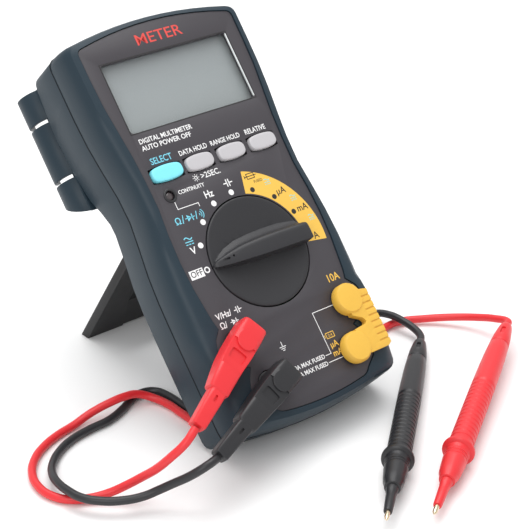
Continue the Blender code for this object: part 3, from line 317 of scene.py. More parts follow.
def shape(shade, *outlines, lift=0.0):
    """Prints closed outlines; an outline inside another is left bare."""
    flat = bpy.data.curves.new("shape", "CURVE")
    flat.dimensions = "2D"
    flat.fill_mode = "BOTH"
    flat.extrude = INK_THICKNESS / 2
    for outline in outlines:
        edge = flat.splines.new("POLY")
        edge.points.add(len(outline) - 1)
        edge.use_cyclic_u = True
        for spot, (u, v) in zip(edge.points, outline):
            spot.co = (u, v, 0.0, 1.0)
    mark = bpy.data.objects.new("shape", flat)
    bpy.context.scene.collection.objects.link(mark)
    only(mark)
    bpy.ops.object.convert(target="MESH")
    mark = bpy.context.object
    mark.data.transform(Matrix.Translation((0.0, 0.0, INK_THICKNESS / 2 + lift)))
    printed[shade].append(mark)
    return mark


def arc(u, v, radius, start=0.0, end=360.0, steps=32):
    """Points on an arc, in degrees."""
    turns = [math.radians(start + (end - start) * i / steps) for i in range(steps + (end - start < 360.0))]
    return [(u + radius * math.cos(a), v + radius * math.sin(a)) for a in turns]


def stroke(shade, points, width, lift=0.0):
    """Prints a bent line of even width with mitred corners."""
    left, right = [], []
    for i, spot in enumerate(points):
        here = Vector(spot)
        before = (here - Vector(points[i - 1])).normalized() if i else None
        after = (Vector(points[i + 1]) - here).normalized() if i < len(points) - 1 else None
        along = ((before or after) + (after or before)).normalized()
        side = Vector((-along.y, along.x))
        reach = width / 2 / max(0.35, abs(side.dot(Vector((-(before or after).y, (before or after).x)))))
        left.append(tuple(here + side * reach))
        right.append(tuple(here - side * reach))
    shape(shade, left + right[::-1], lift=lift)


def box(u0, u1, v0, v1):
    return [(u0, v0), (u1, v0), (u1, v1), (u0, v1)]


letters("METER", -10.6, 89.6, 4.5, "red", width=1.17, weight=0.02)
letters("DIGITAL MULTIMETER", -28.2, 52.7, 1.95, "white", width=0.92, weight=0.04)
letters("AUTO POWER OFF", -28.2, 49.9, 1.95, "white", width=0.98, weight=0.04)
for text, u, cap, shade in (("SELECT", -22.4, 2.6, "cyan"), ("DATA HOLD", -7.6, 2.0, "white"),
                            ("RANGE HOLD", 7.8, 1.95, "white"), ("RELATIVE", 22.6, 2.1, "white")):
    letters(text, u, 43.9, cap, shade, "CENTER", 0.83, 0.04)
letters(">2SEC.", -9.6, 33.0, 2.3, "white", width=0.98, weight=0.04)
shape("white", arc(-11.8, 34.1, 0.75, steps=16), arc(-11.8, 34.1, 0.45, steps=16))
for i in range(8):
    ray = math.tau * i / 8
    stroke("white", [(-11.8 + r * math.cos(ray), 34.1 + r * math.sin(ray)) for r in (1.0, 1.5)], 0.22)
letters("CONTINUITY", -21.8, 30.1, 1.55, "white", width=0.92, weight=0.03)
stroke("white", [(-25.0, 27.9), (-25.0, 24.9), (-15.6, 24.9), (-15.6, 23.4)], 0.28)

# resistance, diode and sound in cyan
letters("Ω", -28.6, 19.4, 2.6, "cyan", weight=0.05)
stroke("cyan", [(-25.4, 19.2), (-24.4, 22.3)], 0.35)
stroke("cyan", [(-23.9, 20.6), (-19.5, 20.6)], 0.30)
shape("cyan", [(-22.9, 21.9), (-22.9, 19.3), (-20.9, 20.6)])
stroke("cyan", [(-20.6, 21.9), (-20.6, 19.3)], 0.42)
stroke("cyan", [(-19.2, 19.2), (-18.2, 22.3)], 0.35)
for radius in (0.5, 1.35, 2.2):
    rim = arc(-17.6, 20.6, radius + 0.15, -52.0, 52.0, 10)
    shape("cyan", rim + arc(-17.6, 20.6, radius - 0.15, -52.0, 52.0, 10)[::-1])

# volts, with the wave and the dashed line in cyan
letters("V", -27.6, 7.2, 2.8, "white", weight=0.06)
wave = [(-28.3 + 3.6 * i / 12, 13.4 + 0.5 * math.sin(math.tau * i / 12)) for i in range(13)]
stroke("cyan", wave, 0.40)
stroke("cyan", [(-28.3, 12.1), (-24.7, 12.1)], 0.38)
for u in (-28.3, -27.0, -25.7):
    stroke("cyan", [(u, 11.1), (u + 0.9, 11.1)], 0.38)

# the off position
shape("white", box(-32.5, -26.3, -1.9, 1.6))
letters("OFF", -29.4, -1.1, 2.4, "black", "CENTER", 0.92, 0.02, lift=INK_THICKNESS)
shape("white", arc(-24.6, 0.0, 1.25, steps=24), arc(-24.6, 0.0, 0.75, steps=24))

letters("Hz", -9.7, 25.4, 2.9, "white", "CENTER", 0.88, 0.06)
for u in (-0.1, 0.9):
    stroke("white", [(u, 26.9), (u, 29.9)], 0.42)
for u0, u1 in ((-1.7, -0.1), (0.9, 2.5)):
    stroke("white", [(u0, 28.4), (u1, 28.4)], 0.42)
for degrees in (157.5, 135.0, 112.5, 90.0):
    a = math.radians(degrees)
    shape("white", arc(24.5 * math.cos(a), 24.5 * math.sin(a), 1.15, steps=20))

# the yellow field of the current ranges
shape("yellow", arc(0.0, 0.0, 31.9, -8.6, 75.5, 40) + arc(0.0, 0.0, 22.9, -8.6, 75.5, 40)[::-1])
for degrees in (67.5, 45.0, 22.5):
    a = math.radians(degrees)
    shape("black", arc(24.6 * math.cos(a), 24.6 * math.sin(a), 1.05, steps=20), lift=INK_THICKNESS)
letters("µA", 19.0, 17.6, 2.8, "black", width=0.95, weight=0.03, lift=INK_THICKNESS)
letters("mA", 24.6, 8.7, 2.8, "black", width=0.92, weight=0.03, lift=INK_THICKNESS)
letters("A", 26.3, -3.5, 2.9, "black", width=0.92, weight=0.03, lift=INK_THICKNESS)
for u, v in ((16.0, 23.8), (24.0, 14.6), (28.0, 5.0)):
    stroke("pale", [(u + 2.6 * i / 8, v + 0.9 + 0.35 * math.sin(math.tau * i / 8)) for i in range(9)], 0.40,
           lift=INK_THICKNESS)
    stroke("pale", [(u, v - 0.1), (u + 2.6, v - 0.1)], 0.36, lift=INK_THICKNESS)
    for step in (0.0, 0.95, 1.9):
        stroke("pale", [(u + step, v - 0.9), (u + step + 0.7, v - 0.9)], 0.36, lift=INK_THICKNESS)
shape("black", box(9.3, 13.0, 26.9, 29.3), box(9.6, 12.7, 27.2, 29.0), lift=INK_THICKNESS)
stroke("black", [(8.4, 28.1), (13.9, 28.1)], 0.30, lift=INK_THICKNESS)
stroke("black", [(8.4, 27.4), (8.4, 28.8)], 0.30, lift=INK_THICKNESS)
letters("FUSED", 11.5, 24.9, 1.1, "black", width=0.95, lift=INK_THICKNESS)

# the input jacks
letters("V/Hz/", -29.9, -18.9, 2.4, "white", width=0.90, weight=0.05)
for u in (-20.2, -19.3):
    stroke("white", [(u, -19.0), (u, -16.5)], 0.36)
for u0, u1 in ((-21.5, -20.2), (-19.3, -18.0)):
    stroke("white", [(u0, -17.75), (u1, -17.75)], 0.36)
letters("Ω/", -29.9, -22.6, 2.4, "white", width=0.92, weight=0.05)
stroke("white", [(-25.0, -21.4), (-21.3, -21.4)], 0.30)
shape("white", [(-24.2, -20.3), (-24.2, -22.5), (-22.4, -21.4)])
stroke("white", [(-22.2, -20.3), (-22.2, -22.5)], 0.38)
letters("10A", 26.0, -21.2, 3.1, "yellow", "CENTER", 0.88, 0.06)
stroke("white", [(21.2, -29.7), (10.1, -29.7), (10.1, -46.4), (7.4, -46.4)], 0.26)
stroke("white", [(7.4, -49.3), (14.6, -49.3)], 0.26)
letters("µA", 13.2, -44.6, 2.5, "yellow", "CENTER", 0.92, 0.05)
letters("mA", 13.2, -48.0, 2.5, "yellow", "CENTER", 0.92, 0.05)
shape("yellow", box(11.3, 15.3, -41.0, -38.6), box(11.6, 15.0, -40.7, -38.9))
letters("0.4", 13.3, -40.4, 1.2, "yellow", "CENTER")
stroke("yellow", [(10.7, -40.4), (10.7, -39.2)], 0.28)
letters("10A MAX FUSED", 6.9, -47.2, 1.75, "white", "RIGHT", 0.90, 0.035)
letters("400mA MAX FUSED", 6.9, -50.1, 1.75, "white", "RIGHT", 0.90, 0.035)
stroke("white", [(-8.6, -35.0), (-8.6, -37.0)], 0.28)
for half, v in ((1.5, -37.0), (1.0, -37.7), (0.5, -38.4)):
    stroke("white", [(-8.6 - half, v), (-8.6 + half, v)], 0.28)

# a black line round the window: painted shade of the walls of the window's well
shape("black", box(-30.2, 30.2, 56.8, 86.2), box(-29.75, 29.75, 57.2, 85.8))

for shade, marks in printed.items():
    bpy.ops.object.select_all(action="DESELECT")
    for mark in marks:
        mark.select_set(True)
    bpy.context.view_layer.objects.active = marks[0]
    bpy.ops.object.join()
    legend = bpy.context.object
    legend.data.transform(FACE)
    finished(legend, "print_" + shade, "meter", inks[shade], smooth=20.0)

# ---- display ----
# A clear acrylic window over a blank liquid crystal cell, sunk behind the panel in a dark well.
window_clear = bpy.data.materials.new("clear_acrylic")
window_clear.use_nodes = True
clear = window_clear.node_tree.nodes["Principled BSDF"]
start = Signal(window_clear.node_tree)
haze = start.node("ShaderNodeTexNoise", None,
                  {"Vector": start.node("ShaderNodeTexCoord", out="Object"), "Scale": 45.0, "Detail": 2.0})
window_clear.node_tree.links.new((haze * 0.04 + 0.03).socket, clear.inputs["Roughness"])
window_clear.node_tree.links.new((haze * 0.03 + 0.10).socket, clear.inputs["Alpha"])
clear.inputs["Base Color"].default_value = (0.55, 0.58, 0.58, 1.0)
frame["nodes"]["lcd_window"].data.materials[0] = window_clear
# A thin near-white strip along the right edge of the window only: a painted highlight where light catches the
# window's edge.
bpy.ops.mesh.primitive_cube_add(size=1.0)
highlight_strip = bpy.context.object
highlight_strip.data.transform(FACE @ Matrix.Translation((29.5, 71.5, -0.35)) @ Matrix.Diagonal((0.35, 27.4, 0.8, 1.0)))
bevelled(highlight_strip, 0.0001, 2, 40.0)
edge_highlight = moulded("painted_edge_highlight", srgb(226, 230, 230), 0.20, grain=500.0, depth=0.000002, coat=0.5)
finished(highlight_strip, "window_edge_highlight", "meter", edge_highlight)

cell = bpy.data.materials.new("grey_green_cell")
cell.use_nodes = True
glassy = cell.node_tree.nodes["Principled BSDF"]
start = Signal(cell.node_tree)
place = start.node("ShaderNodeTexCoord", out="Object")
# The cell's grey is painted lighter towards the bottom and darker towards the top: painted light and shade, not a
# colour of the cell.
low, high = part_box("lcd_display")
height = start.node("ShaderNodeSeparateXYZ", None, {"Vector": place}, out="Z")
painted_shade_share = (height - low.z) * (1.0 / (high.z - low.z))
fine = start.node("ShaderNodeTexNoise", None, {"Vector": place, "Scale": 2600.0, "Detail": 1.0})
tone = start.node("ShaderNodeValToRGB", {"stops": [
    (0.0, srgb(144, 151, 152)), (0.55, srgb(138, 145, 147)), (1.0, srgb(132, 138, 141))]},
    {"Fac": painted_shade_share + fine * 0.06 - 0.03})
cell.node_tree.links.new(tone.socket, glassy.inputs["Base Color"])
cell.node_tree.links.new((fine * 0.06 + 0.25).socket, glassy.inputs["Roughness"])
frame["nodes"]["lcd_display"].data.materials[0] = cell

# ---- push buttons ----
# Four keys of soft-touch plastic, one cyan and three grey, that stand 1.3 mm above the panel.
# Each is moulded with a bowed long side and a rolled edge, and rides on its own slide.
def subdivided(piece, levels):
    """Smooths a cage by subdivision and applies it."""
    only(piece)
    rounding = piece.modifiers.new("rounding", "SUBSURF")
    rounding.levels = rounding.render_levels = levels
    bpy.ops.object.modifier_apply(modifier=rounding.name)
    return piece


key_grey = moulded("key_grey", srgb(186, 184, 187), 0.46, grain=1800.0, depth=0.000008, mottle=0.04)
key_cyan = moulded("key_cyan", srgb(126, 222, 236), 0.46, grain=1800.0, depth=0.000008, mottle=0.04)
key_pitch = 15.3
for i, name in enumerate(("select", "data_hold", "range_hold", "relative")):
    width = 14.2 if i == 0 else 12.8
    bpy.ops.mesh.primitive_cube_add(size=1.0)
    key = bpy.context.object
    key.data.transform(Matrix.Diagonal((width, 4.9, 4.2, 1.0)))
    bpy.ops.object.mode_set(mode="EDIT")
    for cut in (-width / 4, 0.0, width / 4):
        bpy.ops.mesh.select_all(action="SELECT")
        bpy.ops.mesh.bisect(plane_co=(cut, 0.0, 0.0), plane_no=(1.0, 0.0, 0.0))
    pick(key, "VERT", lambda co, way: abs(co.x) < 0.1)
    bpy.ops.transform.resize(value=(1.0, 1.36, 1.0), center_override=(0.0, 0.0, 0.0))
    pick(key, "VERT", lambda co, way: abs(abs(co.x) - width / 4) < 0.1)
    bpy.ops.transform.resize(value=(1.0, 1.26, 1.0), center_override=(0.0, 0.0, 0.0))
    pick(key, "EDGE", lambda co, way: abs(way.z) > 0.9 and abs(co.x) > width / 2 - 0.1)
    bpy.ops.mesh.bevel(offset=1.9, segments=4, affect="EDGES")
    pick(key, "FACE", lambda co, way: way.z > 0.9)
    bpy.ops.mesh.inset(thickness=0.45, depth=0.0)
    bpy.ops.transform.translate(value=(0.0, 0.0, 0.25))
    bpy.ops.mesh.inset(thickness=0.55, depth=0.0)
    bpy.ops.transform.translate(value=(0.0, 0.0, 0.10))
    bpy.ops.mesh.inset(thickness=1.0, depth=0.0)
    bpy.ops.object.mode_set(mode="OBJECT")
    subdivided(key, 2)
    key.data.transform(FACE @ Matrix.Translation((-22.7 + key_pitch * i, 39.5, 1.3 - 2.45)))
    finished(key, "button_" + name + "_key", name + "_button", key_cyan if i == 0 else key_grey,
             ["button_" + name], 60.0)


# ---- continuity lamp ----
# A dark lens, 4 mm across, at the bottom of a hole with a raised moulded collar.
def drawn(stations, sides=32, power=1.0, ring=None):
    """A closed piece drawn out of one ring along Z: height, half width, half depth and two shifts.

    A low power squares the ring's corners; a ring of points of its own may be given instead.
    """
    bpy.ops.mesh.primitive_circle_add(vertices=len(ring or range(sides)), radius=1.0, fill_type="NGON")
    piece = bpy.context.object
    for i, spot in enumerate(piece.data.vertices):
        x, y = ring[i] if ring else spot.co.xy
        spot.co.x = math.copysign(abs(x) ** power, x)
        spot.co.y = math.copysign(abs(y) ** power, y)
    full = []
    for station in stations:
        height, wide, *others = station
        deep = others[0] if others else wide
        shift = others[1] if len(others) > 1 else 0.0
        full.append((height, wide, deep, shift, others[2] if len(others) > 2 else 0.0))
    z, wide, deep, right, up = full[0]
    bpy.ops.object.mode_set(mode="EDIT")
    bpy.ops.mesh.select_all(action="SELECT")
    bpy.ops.transform.resize(value=(wide, deep, 1.0), center_override=(0.0, 0.0, 0.0))
    bpy.ops.transform.translate(value=(right, up, z))
    for old, new in zip(full, full[1:]):
        step = (new[3] - old[3], new[4] - old[4], new[0] - old[0])
        bpy.ops.mesh.extrude_region_move(TRANSFORM_OT_translate={"value": step})
        bpy.ops.transform.resize(value=(new[1] / old[1], new[2] / old[2], 1.0),
                                 center_override=(new[3], new[4], new[0]))
    bpy.ops.mesh.select_all(action="SELECT")
    bpy.ops.mesh.normals_make_consistent(inside=False)
    bpy.ops.object.mode_set(mode="OBJECT")
    return piece


lens = moulded("lamp_lens", srgb(70, 62, 64), 0.18, grain=400.0, depth=0.000002, coat=0.6)
satin_black = moulded("satin_black", srgb(38, 38, 41), 0.42, grain=1600.0, depth=0.000010, mottle=0.06)
lamp_place = FACE @ Matrix.Translation((-25.5, 30.8, 0.0))
bulb = drawn([(-8.7, 2.3), (-3.2, 2.3), (-3.2, 1.95), (-1.2, 1.95), (-0.8, 1.7), (-0.55, 1.1),
              (-0.5, 0.3)], 32)
bulb.data.transform(lamp_place)
finished(bulb, "lamp_lens", "meter", lens, ["continuity_lamp"])
collar = drawn([(-0.02, 2.75), (0.20, 2.75), (0.32, 2.55), (0.32, 2.1), (0.1, 1.9), (-0.4, 1.9)], 40)
bpy.ops.object.mode_set(mode="EDIT")
pick(collar, "FACE", lambda co, way: abs(way.z) > 0.95 and Vector((co.x, co.y)).length < 0.1)
bpy.ops.mesh.delete(type="FACE")
bpy.ops.object.mode_set(mode="OBJECT")
collar.data.transform(lamp_place)
finished(collar, "lamp_collar", "meter", satin_black)

# ---- function knob ----
# A dished disc, 44 mm across, with a tapered grip bar across it. The bar's narrow end has a
# shallow slot and a dimple and points at the function. It clicks round on the rotor below.
knob_black = moulded("knob_black", srgb(45, 45, 48), 0.44, grain=2000.0, depth=0.000008, mottle=0.05,
                     gleam=0.4)
disc = drawn([(-2.2, 21.9), (-0.2, 21.9), (0.1, 21.82), (0.3, 21.6), (0.36, 21.2), (0.25, 20.4),
              (-0.05, 18.4), (-0.5, 15.6), (-0.9, 12.0), (-1.15, 8.0), (-1.25, 4.0), (-1.25, 0.5)], 96)
across_bar = [(-1.10, -0.30), (-1.07, 0.20), (-1.04, 0.55), (-1.0, 0.90), (-0.97, 0.99), (-0.90, 1.0),
              (-0.30, 1.01), (0.40, 1.0), (0.66, 0.985), (0.84, 0.94), (0.98, 0.86), (1.08, 0.70),
              (1.16, 0.40), (1.2, 0.0), (1.2, -0.30)]
bar = drawn([(-21.75, 0.35, 0.7, 0.15), (-21.3, 0.75, 1.5, 0.15), (-20.2, 1.15, 2.2, 0.2),
             (-19.0, 1.45, 2.6, 0.25), (-14.0, 2.35, 3.9, 0.45), (-8.3, 3.0, 5.1, 0.6),
             (-1.5, 3.4, 6.0, 0.5), (7.0, 3.55, 6.5, 0.35),
             (17.9, 3.5, 6.6, 0.0), (21.0, 3.45, 6.5, -0.1), (21.7, 3.3, 6.2, -0.1)], ring=across_bar)
across_flank = [(0.0, -0.30), (0.0, 0.55), (1.0, 0.55), (1.16, 0.40), (1.36, 0.24), (1.65, 0.10), (2.0, 0.0),
                (2.2, -0.08), (2.2, -0.30)]
flank = drawn([(-19.6, 1.0, 1.6, 0.25), (-14.0, 2.2, 3.7, 0.45), (-8.3, 2.85, 4.9, 0.6),
               (-1.5, 3.2, 5.8, 0.5), (7.0, 3.35, 6.3, 0.35), (21.4, 3.3, 6.3, -0.1)], ring=across_flank)
along_face = Matrix(((0, 0, 1, 0), (1, 0, 0, 0), (0, 1, 0, 0), (0, 0, 0, 1)))
bar.data.transform(along_face)
flank.data.transform(along_face)


def cut_away(piece, *tools, operation="DIFFERENCE"):
    """Cuts the tools out of a piece, or joins them to it, and removes them."""
    for tool in tools:
        only(piece)
        step = piece.modifiers.new("step", "BOOLEAN")
        step.operation = operation
        step.solver = "EXACT"
        step.object = tool
        bpy.ops.object.modifier_apply(modifier=step.name)
        bpy.data.objects.remove(tool)
    return piece


slot_cut = drawn([(0.0, 1.7, 0.40), (3.0, 1.7, 0.40)], 20, 0.5)
slot_cut.data.transform(Matrix.Translation((-17.0, 0.75, 2.75)))
dimple = drawn([(0.0, 0.42), (3.0, 0.42)], 16)
dimple.data.transform(Matrix.Translation((-13.7, 0.95, 3.2)))
cut_away(bar, slot_cut, dimple)
cut_away(flank, drawn([(-3.0, 21.7), (9.0, 21.7)], 96), operation="INTERSECT")
cut_away(disc, flank, bar, operation="UNION")
bevelled(disc, 0.22, 3, 38.0)
disc.data.transform(FACE)
finished(disc, "knob", "knob", knob_black, ["function_knob"], 38.0)

# ---- jack sockets and cover ----
# Four shrouded sockets under the panel. The two current jacks wear a soft yellow cover: two
# caps with stubs that plug the holes, two arms and a ribbed tab for the finger.
jack_shroud = bevelled(skin_of("jack_block"), 0.0002, 2, 50.0)
finished(jack_shroud, "jack_shroud", "meter", satin_black, ["jack_block"], 35.0)
soft_yellow = moulded("soft_yellow", srgb(230, 182, 70), 0.50, grain=900.0, depth=0.000012, mottle=0.05)
cover = skin_of("jack_cover")
bevelled(cover, 0.00028, 3, 40.0)
finished(cover, "yellow_cover", "cover", soft_yellow, ["jack_cover"], 40.0)

# ---- tilt stand ----
# A black plate with a window, hinged on a steel pin between two ears on the back.
stand_black = moulded("stand_black", srgb(26, 26, 28), 0.50, grain=1400.0, depth=0.000010,
                      mottle=0.10, gleam=0.3)
leg = bevelled(skin_of("tilt_stand"), 0.0006, 3, 40.0)
finished(leg, "stand_leg", "stand", stand_black, ["tilt_stand"], 35.0)

# ---- probe clips ----
# On each edge of the back, three spring fingers in line that hold a probe's handle.
for node in ("probe_clip_left", "probe_clip_right"):
    clip = bevelled(skin_of(node), 0.0004, 2, 40.0)
    finished(clip, node + "_fingers", "meter", teal, [node], 40.0)


# ---- test lead plugs ----
# Right-angle plugs of the two leads, moulded over brass pins. Each has a rounded block with a
# raised thumb boss, tapers to a neck and ends in a boot round the cord.
def lead_frame(u, v, heading):
    """Across the plug, out of the face and along the plug, from the jack's centre."""
    along = Vector((math.cos(heading), math.sin(heading), 0.0))
    out = Vector((0.0, 0.0, 1.0))
    side = out.cross(along)
    return FACE @ Matrix((
        (side.x, out.x, along.x, u),
        (side.y, out.y, along.y, v),
        (side.z, out.z, along.z, 0.0),
        (0.0, 0.0, 0.0, 1.0)))


lead_finish = {
    "red": moulded("lead_red", srgb(224, 46, 52), 0.38, grain=1100.0, depth=0.000010, mottle=0.05),
    "black": moulded("lead_black", srgb(36, 36, 39), 0.40, grain=1100.0, depth=0.000010, mottle=0.08),
}
for colour, (u, v), degrees, lean in (
        ("red", (-26.2, -30.0), 211.5, -0.9),
        ("black", (-20.2, -48.1), 203.0, 0.0)):
    stations = [(-5.3, 4.5, 4.3, lean, 7.0), (-5.1, 4.9, 4.6, lean, 7.0), (-4.5, 5.2, 4.9, lean, 7.0),
                (0.0, 5.35, 5.05, lean, 7.0), (8.0, 5.3, 4.95, lean, 7.0), (14.0, 4.95, 4.6, lean, 7.1),
                (20.0, 4.55, 4.0, 0.6 * lean, 7.5), (25.2, 4.15, 3.4, 0.2 * lean, 8.0),
                (25.6, 3.9, 3.3, 0.2 * lean, 8.0), (25.9, 3.2, 3.0, 0.0, 8.05), (30.0, 3.15, 3.0, 0.0, 8.05),
                (40.6, 2.85, 2.85, 0.0, 8.05), (41.2, 2.6, 2.6, 0.0, 8.05)]
    grip = drawn(stations, 48, 0.36)
    # turns a cutter drawn along Z so that it stands on the plug's top
    over = Matrix(((1, 0, 0, lean), (0, 0, 1, 0), (0, -1, 0, 0), (0, 0, 0, 1)))
    ledge = drawn([(11.1, 8.0, 8.0), (14.0, 8.0, 8.0)], 4)
    ledge.data.transform(over @ Matrix.Translation((0.0, -10.0, 0.0)) @ Matrix.Rotation(math.pi / 4, 4, "Z"))
    boss = drawn([(10.0, 4.1), (11.75, 4.1), (11.95, 3.9), (12.0, 3.4)], 48)
    boss.data.transform(over @ Matrix.Translation((0.0, -2.6, 0.0)))
    recess = drawn([(10.4, 3.2, 2.2), (14.0, 3.2, 2.2)], 24, 0.3)
    recess.data.transform(over @ Matrix.Translation((0.0, -10.2, 0.0)))
    notch = drawn([(10.3, 0.5, 1.4), (12.0, 0.5, 1.4)], 20, 0.4)
    notch.data.transform(over @ Matrix.Translation((-lean, -29.2, 0.0)))
    cut_away(grip, ledge, recess, notch)
    cut_away(grip, boss, operation="UNION")
    bevelled(grip, 0.25, 3, 40.0)
    grip.data.transform(lead_frame(u, v, math.radians(degrees)))
    finished(grip, colour + "_plug_grip", "meter", lead_finish[colour],
             [colour + "_plug"], 38.0)

# ---- test lead cords ----
# Two soft PVC-jacketed leads, 3.2 mm across. Each leaves its plug's boot, crosses the other
# on the left, passes behind the case's foot and comes out to its probe on the right.
setback = turn["pos_m"][1]
routes = {
    "red": [
        (-61.9, -40.35, 30.45), (-66.9, -41.6, 27.4), (-71.6, -38.8, 21.8), (-74.8, -33.6, 15.2),
        (-77.3, -28.6, 10.4), (-81.0, -24.6, 6.6), (-86.3, -20.6, 3.3), (-92.0, -17.4, 2.0),
        (-98.0, -13.2, 1.7), (-101.7, -7.0, 1.7), (-102.2, 1.0, 1.7), (-99.5, 9.0, 1.7),
        (-94.0, 16.0, 1.7), (-86.5, 21.2, 1.7), (-78.5, 24.3, 1.7), (-70.0, 25.9, 1.9),
        (-61.5, 26.6, 3.6), (-53.5, 25.9, 5.2), (-46.5, 25.4, 5.6), (-40.3, 25.2, 4.4),
        (-35.6, 22.2, 2.4), (-33.2, 15.6, 1.7), (-33.0, 6.0, 1.7), (-32.4, -3.6, 1.7),
        (-28.2, -12.2, 1.7), (-21.0, -15.0, 1.7), (-12.0, -15.2, 1.7), (12.0, -15.2, 1.7),
        (27.0, -14.2, 1.7), (45.0, -6.5, 1.7), (60.0, 1.5, 1.7), (72.5, 5.2, 1.7),
        (81.0, 4.9, 1.9), (90.5, -1.0, 2.5), (98.6, -9.5, 4.0), (103.6, -19.0, 6.2),
        (105.2, -27.0, 8.5), (105.4, -34.1, 10.0), (102.84, -35.9, 10.13),
    ],
    "black": [
        (-58.7, -48.7, 21.0), (-64.0, -49.6, 20.6), (-69.3, -46.2, 16.6), (-73.0, -41.2, 12.4),
        (-76.2, -37.4, 9.2), (-81.0, -34.2, 6.8), (-87.2, -30.4, 5.8), (-92.8, -25.8, 5.6),
        (-97.0, -19.8, 5.6), (-98.4, -12.8, 5.5), (-97.8, -5.0, 4.8), (-95.0, 2.5, 3.4),
        (-90.2, 9.4, 2.0), (-83.8, 14.8, 1.7), (-75.8, 18.4, 1.7), (-66.5, 20.0, 1.7),
        (-57.5, 20.6, 1.7), (-50.2, 23.0, 1.7), (-43.0, 26.6, 1.7), (-36.6, 28.6, 1.7),
        (-31.4, 26.4, 1.7), (-29.4, 20.0, 1.7), (-29.2, 12.0, 1.7), (-29.2, 4.0, 1.7),
        (-29.0, -3.0, 1.7), (-26.4, -8.9, 1.7), (-20.0, -11.2, 1.7), (-12.0, -11.4, 1.7),
        (12.0, -11.4, 1.7), (26.0, -10.6, 1.7), (39.0, -3.0, 1.7), (50.0, 6.5, 1.7),
        (60.0, 15.0, 1.7), (69.0, 17.6, 2.4), (75.0, 13.4, 4.4), (77.3, 6.6, 5.7),
        (78.2, 0.0, 5.5), (78.8, -6.0, 4.4), (77.4, -11.6, 3.7), (73.73, -15.22, 3.7),
    ],
}
probe_start = {"red": (102.2, -36.3, 10.1), "black": (73.4, -15.5, 3.7)}
probe_aim = {"red": (-0.847, -0.530, -0.040), "black": (-0.7615, -0.6475, 0.030)}
cord_radius = 0.0016


def probe_frame(colour):
    """Along the probe from the end where the cord goes in, with the lower side of the probe at -Y."""
    along = Vector(probe_aim[colour]).normalized()
    side = along.cross(Vector((0.0, 0.0, 1.0))).normalized()
    top = along.cross(side).normalized() * -1.0
    x, y, z = probe_start[colour]
    side = top.cross(along)
    return Matrix((
        (side.x, top.x, along.x, x / 1000),
        (side.y, top.y, along.y, y / 1000 + setback),
        (side.z, top.z, along.z, z / 1000),
        (0.0, 0.0, 0.0, 1.0))) @ Matrix.Scale(0.001, 4)


for colour in routes:
    tail = drawn([(0.0, 1.95), (0.3, 2.2), (1.2, 2.5), (3.0, 2.85), (9.0, 3.55), (15.6, 3.95), (16.0, 3.8),
                  (16.05, 3.3), (16.32, 3.3)], 40)
    for turned in (0.0, 110.0):
        slot_cut = drawn([(2.4, 0.85, 2.6), (6.0, 0.85, 2.6)], 20, 0.35)
        slot_cut.data.transform(Matrix.Rotation(math.radians(turned), 4, "Z")
                                @ Matrix(((1, 0, 0, 0), (0, 0, 1, 0), (0, -1, 0, 8.2), (0, 0, 0, 1))))
        cut_away(tail, slot_cut)
    bevelled(tail, 0.15, 2, 40.0)
    tail.data.transform(probe_frame(colour))
    finished(tail, colour + "_tail_boot", "meter", lead_finish[colour],
             [colour + "_probe_tail"], 40.0)

for colour, route in routes.items():
    line = bpy.data.curves.new(colour + "_lead", "CURVE")
    line.dimensions = "3D"
    line.bevel_depth = cord_radius
    line.bevel_resolution = 6
    line.resolution_u = 6
    line.use_fill_caps = True
    strand = line.splines.new("BEZIER")
    strand.bezier_points.add(len(route) - 1)
    for spot, (x, y, z) in zip(strand.bezier_points, route):
        spot.co = (x / 1000, y / 1000 + setback, z / 1000)
        spot.handle_left_type = spot.handle_right_type = "AUTO"
    line.materials.append(lead_finish[colour])
    lead = bpy.data.objects.new(colour + "_lead", line)
    bpy.context.scene.collection.objects.link(lead)
    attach(lead, "meter")
    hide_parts(colour + "_cord")

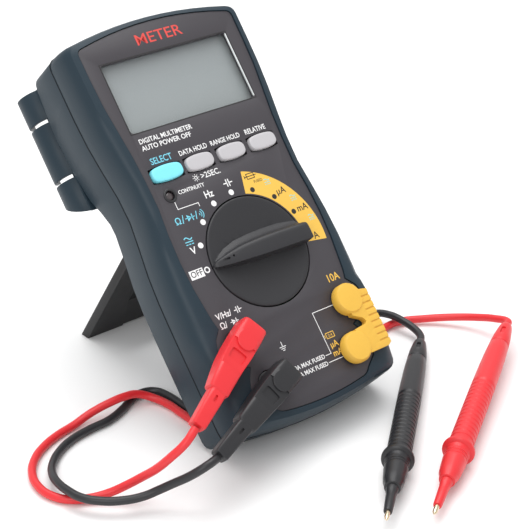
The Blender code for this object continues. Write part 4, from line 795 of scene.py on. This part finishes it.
# ---- probes ----
# Slim moulded handles with a ribbed grip, a finger guard and a ringed nose. Each ends in a
# stepped sleeve round a plated needle.
needle_gold = moulded("needle_gold", srgb(232, 214, 184), 0.24, grain=900.0, depth=0.000002, metal=1.0)
grip_ribs, rib_pitch = 14, 2.7
nose_rings, ring_pitch = 3, 1.7
for colour in routes:
    profile = [(16.3, 3.85), (16.7, 4.0), (22.0, 4.25), (26.0, 4.4), (36.0, 4.6), (46.0, 4.7), (47.6, 4.7)]
    for i in range(grip_ribs):
        z = 48.0 + i * rib_pitch
        profile += [(z, 4.42), (z + 0.35, 4.42), (z + 0.65, 4.72), (z + 2.25, 4.72), (z + 2.55, 4.46)]
    profile += [(86.4, 4.5), (88.4, 4.5), (89.1, 4.7), (89.5, 5.5), (89.9, 6.05), (90.5, 6.2), (91.2, 6.15),
                (91.6, 5.7), (91.9, 4.8), (92.6, 4.65)]
    for i in range(nose_rings):
        z = 93.4 + i * ring_pitch
        profile += [(z, 4.35), (z + 0.3, 4.35), (z + 0.6, 4.6 - 0.04 * i), (z + 1.5, 4.6 - 0.04 * i)]
    profile += [(99.0, 4.45), (104.0, 4.1), (106.4, 3.85), (108.0, 3.3), (109.8, 3.0), (110.0, 2.7)]
    handle = drawn(profile, 40)
    handle.data.transform(probe_frame(colour))
    finished(handle, colour + "_handle", "meter", lead_finish[colour],
             [colour + "_probe_handle"], 35.0)
    sleeve = drawn([(109.98, 2.05), (110.3, 2.1), (110.5, 2.3), (112.8, 2.15), (113.2, 1.95), (116.0, 1.9),
                    (124.6, 1.6), (125.0, 1.45)], 28)
    sleeve.data.transform(probe_frame(colour))
    finished(sleeve, colour + "_sleeve", "meter", lead_finish[colour],
             [colour + "_probe_sleeve"], 40.0)
    needle = drawn([(124.98, 0.95), (128.6, 0.92), (129.4, 0.6), (130.0, 0.16)], 20)
    needle.data.transform(probe_frame(colour))
    finished(needle, colour + "_needle", "meter", needle_gold,
             [colour + "_probe_needle"], 40.0)

# ---- inside and small hardware ----
# What shows only through the jacks, the door's seams or when the stand is open: brass
# sockets, the switch rotor, the board, fuses and cells, zinc-plated screws and the hinge pin.
hidden = {
    "white_plastic": moulded("acetal_white", srgb(225, 225, 218), 0.45),
    "board_green": moulded("solder_mask", srgb(30, 112, 62), 0.35, coat=0.3),
    "keypad_silicone": moulded("silicone_grey", srgb(176, 176, 178), 0.65),
    "brass": moulded("turned_brass", srgb(206, 170, 96), 0.30, grain=700.0, depth=0.000003, metal=1.0),
    "plated_steel": moulded("zinc_plate", srgb(190, 190, 192), 0.32, grain=800.0, depth=0.000003, metal=1.0),
    "fuse_ceramic": moulded("fuse_ceramic", srgb(232, 230, 222), 0.35),
    "cell_jacket": moulded("cell_jacket", srgb(46, 84, 148), 0.30, coat=0.4),
    "black_plastic": satin_black,
}
slots = {row["node"]: row["material_slot"] for row in frame["record"]["subparts"]}
for node, part in frame["nodes"].items():
    if not part.hide_render and slots[node] in hidden:
        part.data.materials[0] = hidden[slots[node]]
